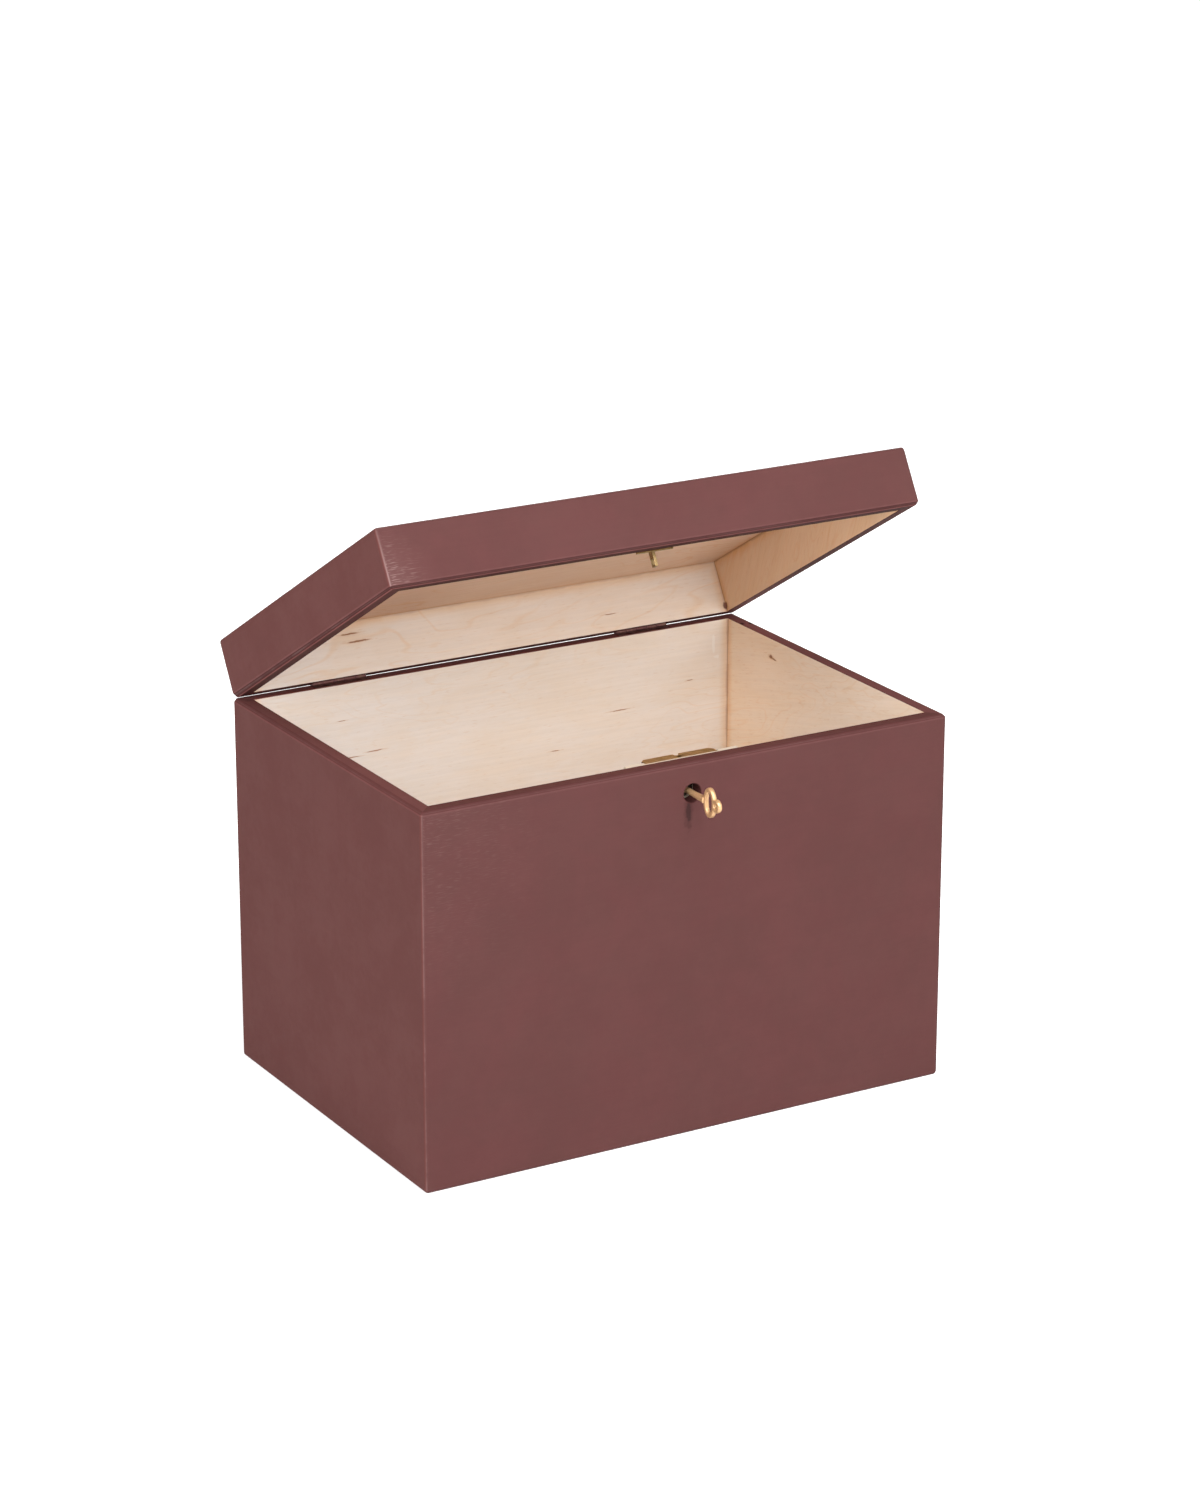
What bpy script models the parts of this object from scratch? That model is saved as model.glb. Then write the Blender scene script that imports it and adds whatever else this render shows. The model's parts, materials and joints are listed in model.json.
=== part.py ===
"""Envelope box: a stained wooden box with a hinged lid, a box lock and its key.

The frame has +Z up and its origin in the middle of the underside. The front, with the keyhole, faces -Y.
The lid's pieces are laid out as if the lid were shut. They hang on an empty on the hinge axis,
which opens them.
"""

from math import cos, pi, radians, sin

import bmesh
import bpy
from mathutils import Matrix, Vector

# Box, in metres
BOX_WIDTH = 0.290
BOX_DEPTH = 0.198
BASE_HEIGHT = 0.190
LID_HEIGHT = 0.0295
WALL = 0.0078
BOTTOM_THICKNESS = 0.004
TOP_THICKNESS = 0.003
RIM_GAP = 0.001
RIM_CHAMFER = 0.0016
ROUND_OVER_CHAMFER = 0.0004
LID_OPEN = radians(30.2)

# Fits
SEAT_GAP = 0.0003
RUNNING_GAP = 0.0002
LOOSE_GAP = 0.0007

# Hinges
HINGE_LENGTH = 0.030
HINGE_FROM_SIDE = 0.0575
KNUCKLE_RADIUS = 0.0015
KNUCKLE_COUNT = 5
HINGE_PIN_RADIUS = 0.00075
LEAF_THICKNESS = 0.0008
LEAF_MARGIN = 0.0008
HINGE_SCREW_SPACING = 0.018
HINGE_SCREW_HEAD = 0.0012
HINGE_SCREW_SHANK = 0.0006
HINGE_SCREW_LENGTH = 0.007

# Lock
KEYHOLE_RADIUS = 0.005
LOCK_DROP = 0.0004
LOCK_SHEET = 0.001
FLANGE_CORNER = 0.0022
CASE_WALL = 0.0008
CASE_ROUND = 0.0012
BLOCK_THICKNESS = 0.0014
BLOCK_PAST_LOCK = 0.011
BLOCK_UNDER_LOCK = 0.003
LOCK_SCREW_HEAD = 0.002
LOCK_SCREW_SHANK = 0.001
LOCK_SCREW_ROOM = 0.00075
SCREW_COVER = 0.0037
DOME_HEIGHT = 0.001
SCREW_SLOT = 0.0004
SPRING_THICKNESS = 0.0004
SPRING_WIDTH = 0.003

# Bolt and strike
BOLT_THICKNESS = 0.0014
BOLT_THROW = 0.004
BOLT_FOOT = 0.0016
BOLT_END = 0.0044
BOLT_BAR = 0.0039
BOLT_SILL = 0.0054
NOSE_HEIGHT = 0.0019
NOSE_SPARE = 0.0009
NOSE_COVER = 0.00115
TALON_WIDTH = 0.0038
TALON_CLEAR = 0.0011
PRONG_WIDTH = 0.0016
PRONG_CHEEK = 0.00055
PRONG_SIDE_GAP = 0.0009
EYE_BAR = 0.001
EYE_GAP = 0.00045
STRIKE_WIDTH = 0.020
STRIKE_HEIGHT = 0.011
STRIKE_BLOCK_PAST_PLATE = 0.002
STRIKE_SCREW_MARGIN = 0.001
STRIKE_SCREW_RISE = 0.006
STRIKE_PROUD = 0.0003

# Key
KEY_PIN_RADIUS = 0.0008
KEY_PIN_LENGTH = 0.0125
PIN_HEAD_RADIUS = 0.0016
PIN_HEAD_HEIGHT = 0.0006
SHANK_WALL = 0.0005
SHANK_SHOWING = 0.0116
BIT_THICKNESS = 0.0013
BIT_GAP = 0.0005
BIT_SIDE_GAP = 0.001
KEY_TIP_GAP = 0.0006
BOW_HEIGHT = 0.0148
BOW_LENGTH = 0.0096
BOW_RING_RADIUS = 0.0033
BOW_WIRE = 0.0013

# Planes of the box
LEFT = -BOX_WIDTH / 2
RIGHT = BOX_WIDTH / 2
FRONT = -BOX_DEPTH / 2
BACK = BOX_DEPTH / 2
FRONT_INNER = FRONT + WALL
BACK_INNER = BACK - WALL
LEFT_INNER = LEFT + WALL
RIGHT_INNER = RIGHT - WALL
LID_RIM = BASE_HEIGHT + RIM_GAP
LID_TOP = LID_RIM + LID_HEIGHT
CORNER_ROUND = RIM_CHAMFER + ROUND_OVER_CHAMFER

# Planes of the hinges
HINGE_AXIS = Vector((0, BACK - KNUCKLE_RADIUS, BASE_HEIGHT + RIM_GAP / 2))
LEAF_END = BACK_INNER + LEAF_MARGIN
LEAF_ROOT = HINGE_AXIS.y - KNUCKLE_RADIUS - SEAT_GAP

# Lock from front to back: block, plate, prong with room on both sides, case
PRONG_DEPTH = BOLT_THICKNESS + 2 * EYE_GAP + 2 * PRONG_CHEEK
BLOCK_BACK = FRONT_INNER + SEAT_GAP
BLOCK_FACE = BLOCK_BACK + BLOCK_THICKNESS
PLATE_BACK = BLOCK_FACE + SEAT_GAP
PLATE_FACE = PLATE_BACK + LOCK_SHEET
CASE_INNER = PLATE_FACE + PRONG_DEPTH + 2 * PRONG_SIDE_GAP
CASE_FACE = CASE_INNER + CASE_WALL
WORKS_MIDDLE = (PLATE_FACE + CASE_INNER) / 2
SCREW_SEAT = PLATE_FACE + SEAT_GAP
LOCK_SCREW_LENGTH = SCREW_SEAT - FRONT - SCREW_COVER - LOCK_SCREW_SHANK

# Lock from the rim down: flange, nose in the prong's eye, shoulder, key, foot
SHANK_RADIUS = KEY_PIN_RADIUS + RUNNING_GAP + SHANK_WALL
BIT_RADIUS = KEYHOLE_RADIUS - BIT_GAP
BIT_SWEEP = BIT_RADIUS + BIT_GAP
LOCK_TOP = BASE_HEIGHT - LOCK_DROP
FLANGE_UNDER = LOCK_TOP - LOCK_SHEET
NOSE_TOP = FLANGE_UNDER - NOSE_COVER
NOSE_BOTTOM = NOSE_TOP - NOSE_HEIGHT
PRONG_TIP = NOSE_BOTTOM - EYE_GAP - EYE_BAR
SHOULDER = PRONG_TIP - LOOSE_GAP
KEY_HEIGHT = SHOULDER - BOLT_BAR - BIT_SWEEP
BOLT_BOTTOM = KEY_HEIGHT - BIT_SWEEP - BOLT_SILL
CASE_BOTTOM = BOLT_BOTTOM - SEAT_GAP - CASE_WALL
LOCK_BOTTOM = CASE_BOTTOM - LOCK_SHEET

# Lock from its middle to the sides: nose, bolt, case, screws
NOSE_TIP = PRONG_WIDTH / 2 + LOOSE_GAP
BOLT_REACH = BOLT_THROW + BIT_SWEEP + BOLT_END
CASE_HALF = BOLT_REACH + SEAT_GAP + CASE_WALL
LOCK_SCREW_X = CASE_HALF + LOCK_SCREW_ROOM + LOCK_SCREW_HEAD
LOCK_HALF = LOCK_SCREW_X + LOCK_SCREW_HEAD + LOCK_SCREW_ROOM

# Steps of round shapes
ROUND_STEPS = 3
TURN_STEPS = 16
RING_STEPS = 28
WIRE_STEPS = 8
DOME_STEPS = 4
ARC_STEPS = 6
SPRING_STEPS = 6
SHARP_ANGLE = radians(35)

# Distances for meshes and cutters
MERGE = 0.00001
TOUCH = 0.000001
OVERRUN = 0.001
ALONG_NORMAL = 0.99


# Collections and materials


def make_collection(name):
    """A collection in the scene."""
    collection = bpy.data.collections.new(name)
    bpy.context.scene.collection.children.link(collection)
    return collection


def make_material(name, colour, roughness, metallic=0.0):
    """A plain Principled finish."""
    material = bpy.data.materials.new(name)
    material.use_nodes = True
    material.diffuse_color = (*colour, 1.0)
    shader = material.node_tree.nodes["Principled BSDF"]
    shader.inputs["Base Color"].default_value = (*colour, 1.0)
    shader.inputs["Roughness"].default_value = roughness
    shader.inputs["Metallic"].default_value = metallic
    return material


def place(obj, collection, *materials):
    """Puts a new object in its collection with its finishes."""
    for other in list(obj.users_collection):
        other.objects.unlink(obj)
    collection.objects.link(obj)
    for material in materials:
        obj.data.materials.append(material)
    return obj


# Shapes


def box_bmesh(low, high):
    """A box between two corners."""
    low = Vector(low)
    high = Vector(high)
    bm = bmesh.new()
    bmesh.ops.create_cube(bm, size=1.0)
    bmesh.ops.scale(bm, vec=high - low, verts=bm.verts)
    bmesh.ops.translate(bm, vec=(low + high) / 2, verts=bm.verts)
    return bm


def object_from_bmesh(name, bm):
    """A mesh object made from a bmesh, which is freed."""
    mesh = bpy.data.meshes.new(name)
    bm.to_mesh(mesh)
    bm.free()
    return bpy.data.objects.new(name, mesh)


def box(name, low, high):
    """A plain box object."""
    return object_from_bmesh(name, box_bmesh(low, high))


def side_axis(side):
    """The axis number and the outward direction of a side such as "-X"."""
    sign, letter = side
    direction = 1 if sign == "+" else -1
    return "XYZ".index(letter), direction


def on_side(vert, low, high, side):
    """True where a vertex lies on that side of the box between low and high."""
    axis, direction = side_axis(side)
    plane = high[axis] if direction > 0 else low[axis]
    return abs(vert.co[axis] - plane) < TOUCH


def edge_on_side(edge, low, high, side):
    """True where both ends of an edge lie on that side."""
    return all(on_side(vert, low, high, side) for vert in edge.verts)


def board(name, low, high, outer, rim=None, foot=None, raw=()):
    """A board of the walls, with its outer corners and foot rounded and its outer rim chamfered.

    outer lists the sides that show outside, rim is the side at the opening and foot the side away from it.
    raw lists the sides that stay unstained.
    """
    bm = box_bmesh(low, high)
    exposed = list(outer) + ([foot] if foot else [])
    corners = []
    for edge in bm.edges:
        touching = [side for side in exposed if edge_on_side(edge, low, high, side)]
        if len(touching) > 1:
            corners.append(edge)
    if corners:
        bmesh.ops.bevel(
            bm, geom=corners, offset=CORNER_ROUND, segments=ROUND_STEPS, profile=0.5, affect="EDGES"
        )
    if rim:
        inner = [side for side in ("-X", "+X", "-Y", "+Y") if side not in outer]
        rim_edges = []
        for edge in bm.edges:
            hidden = any(edge_on_side(edge, low, high, side) for side in inner)
            if edge_on_side(edge, low, high, rim) and not hidden:
                rim_edges.append(edge)
        bmesh.ops.bevel(bm, geom=rim_edges, offset=RIM_CHAMFER, segments=1, affect="EDGES")
    bm.normal_update()
    for face in bm.faces:
        for axis, direction in map(side_axis, raw):
            if face.normal[axis] * direction > ALONG_NORMAL:
                face.material_index = 1
    return object_from_bmesh(name, bm)


def rod(name, radius, start, end, steps=TURN_STEPS):
    """A straight round rod between two points."""
    start = Vector(start)
    end = Vector(end)
    run = end - start
    bm = bmesh.new()
    bmesh.ops.create_cone(
        bm, cap_ends=True, segments=steps, radius1=radius, radius2=radius, depth=run.length
    )
    turn = run.to_track_quat("Z", "Y").to_matrix().to_4x4()
    bmesh.ops.transform(bm, matrix=Matrix.Translation((start + end) / 2) @ turn, verts=bm.verts)
    return object_from_bmesh(name, bm)


def turned(name, profile, steps=TURN_STEPS):
    """A shape turned about Z from (radius, height) points that run down its outer side."""
    mesh = bpy.data.meshes.new(name)
    points = [(radius, 0.0, height) for radius, height in profile]
    mesh.from_pydata(points, [(i, i + 1) for i in range(len(points) - 1)], [])
    obj = bpy.data.objects.new(name, mesh)
    screw = obj.modifiers.new("turn", "SCREW")
    screw.axis = "Z"
    screw.angle = 2 * pi
    screw.steps = steps
    screw.render_steps = steps
    screw.screw_offset = 0.0
    screw.use_merge_vertices = True
    screw.merge_threshold = MERGE
    return obj


def flat_shape(name, outlines, thickness):
    """A plate in the XZ plane, centred on y = 0. The first outline is its outside and the rest are holes."""
    curve = bpy.data.curves.new(name, "CURVE")
    curve.dimensions = "2D"
    curve.fill_mode = "BOTH"
    curve.extrude = thickness / 2
    for outline in outlines:
        spline = curve.splines.new("POLY")
        spline.points.add(len(outline) - 1)
        for point, (x, z) in zip(spline.points, outline):
            point.co = (x, z, 0.0, 1.0)
        spline.use_cyclic_u = True
    outline_object = bpy.data.objects.new(name + "_outline", curve)
    bpy.context.scene.collection.objects.link(outline_object)
    graph = bpy.context.evaluated_depsgraph_get()
    mesh = bpy.data.meshes.new_from_object(outline_object.evaluated_get(graph))
    bpy.data.objects.remove(outline_object)
    bm = bmesh.new()
    bm.from_mesh(mesh)
    bpy.data.meshes.remove(mesh)
    bmesh.ops.remove_doubles(bm, verts=bm.verts, dist=TOUCH)
    bmesh.ops.transform(bm, matrix=Matrix.Rotation(pi / 2, 4, "X"), verts=bm.verts)
    bmesh.ops.recalc_face_normals(bm, faces=bm.faces)
    return object_from_bmesh(name, bm)


def arc(centre_x, centre_z, radius, start_deg, end_deg, steps):
    """Points of an arc in the XZ plane."""
    points = []
    for step in range(steps + 1):
        angle = radians(start_deg + (end_deg - start_deg) * step / steps)
        points.append((centre_x + radius * cos(angle), centre_z + radius * sin(angle)))
    return points


def combine(obj, other, operation):
    """Adds a Boolean with another object, which becomes a wire guide that isn't rendered."""
    place(other, guides)
    other.hide_render = True
    other.display_type = "WIRE"
    modifier = obj.modifiers.new(operation.lower(), "BOOLEAN")
    modifier.operation = operation
    modifier.solver = "EXACT"
    modifier.object = other
    return obj


def cut(obj, cutter):
    """Cuts one object out of another."""
    return combine(obj, cutter, "DIFFERENCE")


def join(obj, other):
    """Joins another object to this one."""
    return combine(obj, other, "UNION")


def shade_round(obj):
    """Smooth shading with sharp edges kept."""
    obj.data.shade_smooth()
    obj.data.set_sharp_from_angle(angle=SHARP_ANGLE)
    return obj


def hang_on_lid(*objects):
    """Hangs pieces that were laid out with the lid shut, and their guides, on the lid's pivot."""
    for obj in objects:
        obj.parent = lid_pivot
        obj.location -= HINGE_AXIS
        for modifier in obj.modifiers:
            if modifier.type == "BOOLEAN":
                modifier.object.parent = lid_pivot
                modifier.object.location -= HINGE_AXIS


# Screws


def countersunk_profile(head, shank, length, spare):
    """Profile of a countersunk screw with its head's face at 0, grown by spare for its hole."""
    neck = shank - head
    tip = -length - spare
    return [(0, spare), (head + spare, spare), (shank + spare, neck), (shank + spare, tip), (0, tip)]


def dome_profile(head, shank, length):
    """Profile of a round-headed screw that sits on a face at 0."""
    angles = [step * pi / (2 * DOME_STEPS) for step in range(DOME_STEPS)]
    crown = [(head * sin(angle), DOME_HEIGHT * cos(angle)) for angle in angles]
    return crown + [(head, 0), (shank, 0), (shank, -length), (0, -length - shank)]


def screw(name, profile, head, top, seat, turn):
    """A slotted screw at its seat. turn rotates its head from +Z."""
    obj = turned(name, profile)
    half = SCREW_SLOT / 2
    slot = box(name + "_slot", (-2 * head, -half, top - SCREW_SLOT), (2 * head, half, top + OVERRUN))
    place(shade_round(obj), parts, steel)
    for piece in (obj, slot):
        piece.location = seat
        piece.rotation_euler = turn
    cut(obj, slot)
    return obj


UPRIGHT = (0, 0, 0)
UPSIDE_DOWN = (pi, 0, 0)
FACING_BACK = (-pi / 2, 0, 0)


def dome_screw(name, seat):
    """A round-headed lock or strike screw whose head faces the back."""
    profile = dome_profile(LOCK_SCREW_HEAD, LOCK_SCREW_SHANK, LOCK_SCREW_LENGTH)
    return screw(name, profile, LOCK_SCREW_HEAD, DOME_HEIGHT, seat, FACING_BACK)


def dome_screw_hole(name, seat):
    """The clearance hole of a round-headed screw, open towards the back."""
    start = Vector(seat) - Vector((0, LOCK_SCREW_LENGTH + LOCK_SCREW_SHANK + SEAT_GAP, 0))
    end = Vector(seat) + Vector((0, OVERRUN, 0))
    return rod(name, LOCK_SCREW_SHANK + SEAT_GAP, start, end)


# Box walls


def build_base():
    """The five boards of the base, glued together."""
    low = FRONT_INNER + SEAT_GAP
    high = BACK_INNER - SEAT_GAP
    boards = {
        "front_panel": board(
            "front_panel", (LEFT, FRONT, 0), (RIGHT, FRONT_INNER, BASE_HEIGHT),
            ("-X", "+X", "-Y"), "+Z", "-Z", ("+Y",),
        ),
        "back_panel": board(
            "back_panel", (LEFT, BACK_INNER, 0), (RIGHT, BACK, BASE_HEIGHT),
            ("-X", "+X", "+Y"), "+Z", "-Z", ("-Y",),
        ),
        "left_panel": board(
            "left_panel", (LEFT, low, 0), (LEFT_INNER, high, BASE_HEIGHT),
            ("-X",), "+Z", "-Z", ("+X",),
        ),
        "right_panel": board(
            "right_panel", (RIGHT_INNER, low, 0), (RIGHT, high, BASE_HEIGHT),
            ("+X",), "+Z", "-Z", ("-X",),
        ),
        "bottom_panel": board(
            "bottom_panel", (LEFT_INNER + SEAT_GAP, low, 0),
            (RIGHT_INNER - SEAT_GAP, high, BOTTOM_THICKNESS), (), raw=("+Z", "-Z"),
        ),
    }
    for obj in boards.values():
        place(obj, parts, stain, birch)
    keyhole_start = (0, FRONT - OVERRUN, KEY_HEIGHT)
    keyhole_end = (0, FRONT_INNER + OVERRUN, KEY_HEIGHT)
    cut(boards["front_panel"], rod("keyhole", KEYHOLE_RADIUS, keyhole_start, keyhole_end, RING_STEPS))
    return boards


def build_lid():
    """The four rails and the top board of the lid, as if shut."""
    low = FRONT_INNER + SEAT_GAP
    high = BACK_INNER - SEAT_GAP
    rails = {
        "lid_front_rail": board(
            "lid_front_rail", (LEFT, FRONT, LID_RIM), (RIGHT, FRONT_INNER, LID_TOP),
            ("-X", "+X", "-Y"), "-Z", "+Z", ("+Y",),
        ),
        "lid_back_rail": board(
            "lid_back_rail", (LEFT, BACK_INNER, LID_RIM), (RIGHT, BACK, LID_TOP),
            ("-X", "+X", "+Y"), "-Z", "+Z", ("-Y",),
        ),
        "lid_left_rail": board(
            "lid_left_rail", (LEFT, low, LID_RIM), (LEFT_INNER, high, LID_TOP),
            ("-X",), "-Z", "+Z", ("+X",),
        ),
        "lid_right_rail": board(
            "lid_right_rail", (RIGHT_INNER, low, LID_RIM), (RIGHT, high, LID_TOP),
            ("+X",), "-Z", "+Z", ("-X",),
        ),
        "lid_top_panel": board(
            "lid_top_panel", (LEFT_INNER + SEAT_GAP, low, LID_TOP - TOP_THICKNESS),
            (RIGHT_INNER - SEAT_GAP, high, LID_TOP), (), raw=("-Z",),
        ),
    }
    for obj in rails.values():
        place(obj, parts, stain, birch)
    return rails


# Hinges


def knuckle_span(centre_x, index):
    """The start and end of one knuckle along the hinge."""
    length = (HINGE_LENGTH - (KNUCKLE_COUNT - 1) * SEAT_GAP) / KNUCKLE_COUNT
    start = centre_x - HINGE_LENGTH / 2 + index * (length + SEAT_GAP)
    return start, start + length


def hinge_leaf(name, centre_x, rim, away, first):
    """A leaf sunk in a rim, with every other knuckle from first. away points from the rim into the wood."""
    half = HINGE_LENGTH / 2
    far = rim + away * LEAF_THICKNESS
    low_z = min(rim, far)
    high_z = max(rim, far)
    leaf = box(name, (centre_x - half, LEAF_END, low_z), (centre_x + half, LEAF_ROOT, high_z))
    for index in range(first, KNUCKLE_COUNT, 2):
        start, end = knuckle_span(centre_x, index)
        tongue_low = (start, LEAF_ROOT - LEAF_THICKNESS, low_z)
        tongue = box(f"{name}_tongue_{index}", tongue_low, (end, HINGE_AXIS.y, high_z))
        barrel_start = (start, HINGE_AXIS.y, HINGE_AXIS.z)
        barrel_end = (end, HINGE_AXIS.y, HINGE_AXIS.z)
        join(leaf, tongue)
        join(leaf, rod(f"{name}_knuckle_{index}", KNUCKLE_RADIUS, barrel_start, barrel_end))
    bore_start = (centre_x - half - OVERRUN, HINGE_AXIS.y, HINGE_AXIS.z)
    bore_end = (centre_x + half + OVERRUN, HINGE_AXIS.y, HINGE_AXIS.z)
    cut(leaf, rod(name + "_bore", HINGE_PIN_RADIUS + RUNNING_GAP, bore_start, bore_end))
    return place(leaf, parts, hinge_metal)


def hinge_recess(name, centre_x, rim, away):
    """Cutters for the leaf's mortise and the barrel's groove."""
    half = HINGE_LENGTH / 2 + SEAT_GAP
    floor = rim + away * (LEAF_THICKNESS + SEAT_GAP)
    open_side = rim - away * OVERRUN
    low = (centre_x - half, LEAF_END - SEAT_GAP, min(floor, open_side))
    high = (centre_x + half, HINGE_AXIS.y, max(floor, open_side))
    groove_start = (centre_x - half, HINGE_AXIS.y, HINGE_AXIS.z)
    groove_end = (centre_x + half, HINGE_AXIS.y, HINGE_AXIS.z)
    mortise = box(name + "_mortise", low, high)
    groove = rod(name + "_groove", KNUCKLE_RADIUS + SEAT_GAP, groove_start, groove_end, RING_STEPS)
    return mortise, groove


def hinge_side(name, centre_x, wood, rim, away, first, turn):
    """One leaf of a hinge with its screws, let into a board."""
    leaf = hinge_leaf(name + "_leaf", centre_x, rim, away, first)
    for cutter in hinge_recess(name, centre_x, rim, away):
        cut(wood, cutter)
    screws = []
    for number, side in enumerate((-1, 1), start=1):
        seat = Vector((centre_x + side * HINGE_SCREW_SPACING / 2, (LEAF_END + LEAF_ROOT) / 2, rim))
        profile = countersunk_profile(HINGE_SCREW_HEAD, HINGE_SCREW_SHANK, HINGE_SCREW_LENGTH, 0)
        screws.append(screw(f"{name}_screw_{number}", profile, HINGE_SCREW_HEAD, 0, seat, turn))
        for target in (leaf, wood):
            spare = countersunk_profile(HINGE_SCREW_HEAD, HINGE_SCREW_SHANK, HINGE_SCREW_LENGTH, SEAT_GAP)
            hole = turned(f"{name}_hole_{number}_in_{target.name}", spare)
            hole.location = seat
            hole.rotation_euler = turn
            cut(target, hole)
    return [leaf] + screws


def build_hinges(base, lid):
    """Two butt hinges. Returns the pieces that move with the lid."""
    moving = []
    centre = BOX_WIDTH / 2 - HINGE_FROM_SIDE
    for name, centre_x in (("left_hinge", -centre), ("right_hinge", centre)):
        hinge_side(name + "_base", centre_x, base["back_panel"], BASE_HEIGHT, -1, 0, UPRIGHT)
        moving += hinge_side(name + "_lid", centre_x, lid["lid_back_rail"], LID_RIM, 1, 1, UPSIDE_DOWN)
        half = HINGE_LENGTH / 2
        pin_start = (centre_x - half, HINGE_AXIS.y, HINGE_AXIS.z)
        pin_end = (centre_x + half, HINGE_AXIS.y, HINGE_AXIS.z)
        place(shade_round(rod(name + "_pin", HINGE_PIN_RADIUS, pin_start, pin_end)), parts, steel)
    return moving


# Lock


def build_lock_plate():
    """The plate on the block, with its top flange, keyhole and the slot for the prong."""
    plate_high = (LOCK_HALF, PLATE_FACE, LOCK_TOP - LOCK_SHEET / 2)
    plate = box("lock_plate", (-LOCK_HALF, PLATE_BACK, LOCK_BOTTOM), plate_high)
    low = (-LOCK_HALF, PLATE_BACK, FLANGE_UNDER)
    high = (LOCK_HALF, CASE_FACE, LOCK_TOP)
    bm = box_bmesh(low, high)
    corners = []
    for edge in bm.edges:
        across = edge_on_side(edge, low, high, "-X") or edge_on_side(edge, low, high, "+X")
        if across and edge_on_side(edge, low, high, "+Y"):
            corners.append(edge)
    bmesh.ops.bevel(bm, geom=corners, offset=FLANGE_CORNER, segments=1, affect="EDGES")
    join(plate, object_from_bmesh("lock_flange", bm))
    hole_start = (0, PLATE_BACK - OVERRUN, KEY_HEIGHT)
    hole_end = (0, PLATE_FACE + OVERRUN, KEY_HEIGHT)
    cut(plate, rod("lock_keyhole", SHANK_RADIUS + SEAT_GAP, hole_start, hole_end))
    slot_half = BIT_THICKNESS / 2 + SEAT_GAP
    slot_low = (-slot_half, PLATE_BACK - OVERRUN, KEY_HEIGHT - BIT_RADIUS - SEAT_GAP)
    cut(plate, box("lock_keyhole_slot", slot_low, (slot_half, PLATE_FACE + OVERRUN, KEY_HEIGHT)))
    prong_half = PRONG_WIDTH / 2 + LOOSE_GAP
    prong_reach = PRONG_DEPTH / 2 + LOOSE_GAP
    prong_low = (-prong_half, WORKS_MIDDLE - prong_reach, FLANGE_UNDER - OVERRUN)
    prong_high = (prong_half, WORKS_MIDDLE + prong_reach, LOCK_TOP + OVERRUN)
    cut(plate, box("prong_slot", prong_low, prong_high))
    return place(plate, parts, brass)


def build_lock_case():
    """The cover of the works, open at the plate and under the flange."""
    low = (-CASE_HALF, PLATE_FACE + SEAT_GAP, CASE_BOTTOM)
    high = (CASE_HALF, CASE_FACE, FLANGE_UNDER - SEAT_GAP)
    bm = box_bmesh(low, high)
    outer = []
    for edge in bm.edges:
        touching = [s for s in ("-X", "+X", "+Y", "-Z") if edge_on_side(edge, low, high, s)]
        if len(touching) > 1:
            outer.append(edge)
    bmesh.ops.bevel(bm, geom=outer, offset=CASE_ROUND, segments=2, profile=0.5, affect="EDGES")
    case = object_from_bmesh("lock_case", bm)
    inner_low = (-CASE_HALF + CASE_WALL, PLATE_FACE - OVERRUN, CASE_BOTTOM + CASE_WALL)
    inner_high = (CASE_HALF - CASE_WALL, CASE_INNER, FLANGE_UNDER + OVERRUN)
    cut(case, box("lock_case_hollow", inner_low, inner_high))
    pin_start = (0, CASE_INNER - OVERRUN, KEY_HEIGHT)
    pin_end = (0, CASE_FACE + OVERRUN, KEY_HEIGHT)
    cut(case, rod("lock_case_pin_hole", KEY_PIN_RADIUS + RUNNING_GAP, pin_start, pin_end))
    return place(case, parts, brass)


def build_lock_spring():
    """A bent leaf spring, from the case's left wall down to the bolt's shoulder and up to a free end."""
    wall_x = -CASE_HALF + CASE_WALL + SEAT_GAP + SPRING_THICKNESS / 2
    free_x = NOSE_TIP - BOLT_THROW - LOOSE_GAP - SPRING_THICKNESS
    touch_z = SHOULDER + SEAT_GAP + SPRING_THICKNESS / 2
    top_z = FLANGE_UNDER - LOOSE_GAP
    bend = (top_z - touch_z) / 2
    path = [(wall_x, top_z)]
    for step in range(SPRING_STEPS + 1):
        along = step / SPRING_STEPS
        path.append((wall_x + (free_x - wall_x) * along, touch_z + bend * (2 * along - 1) ** 2))
    bm = bmesh.new()
    rows = []
    for x, z in path:
        ends = (WORKS_MIDDLE - SPRING_WIDTH / 2, WORKS_MIDDLE + SPRING_WIDTH / 2)
        rows.append([bm.verts.new((x, y, z)) for y in ends])
    for near, far in zip(rows, rows[1:]):
        bm.faces.new((near[0], near[1], far[1], far[0]))
    spring = object_from_bmesh("lock_spring", bm)
    solid = spring.modifiers.new("thickness", "SOLIDIFY")
    solid.thickness = SPRING_THICKNESS
    solid.offset = 0.0
    solid.use_even_offset = True
    return place(spring, parts, steel)


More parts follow.
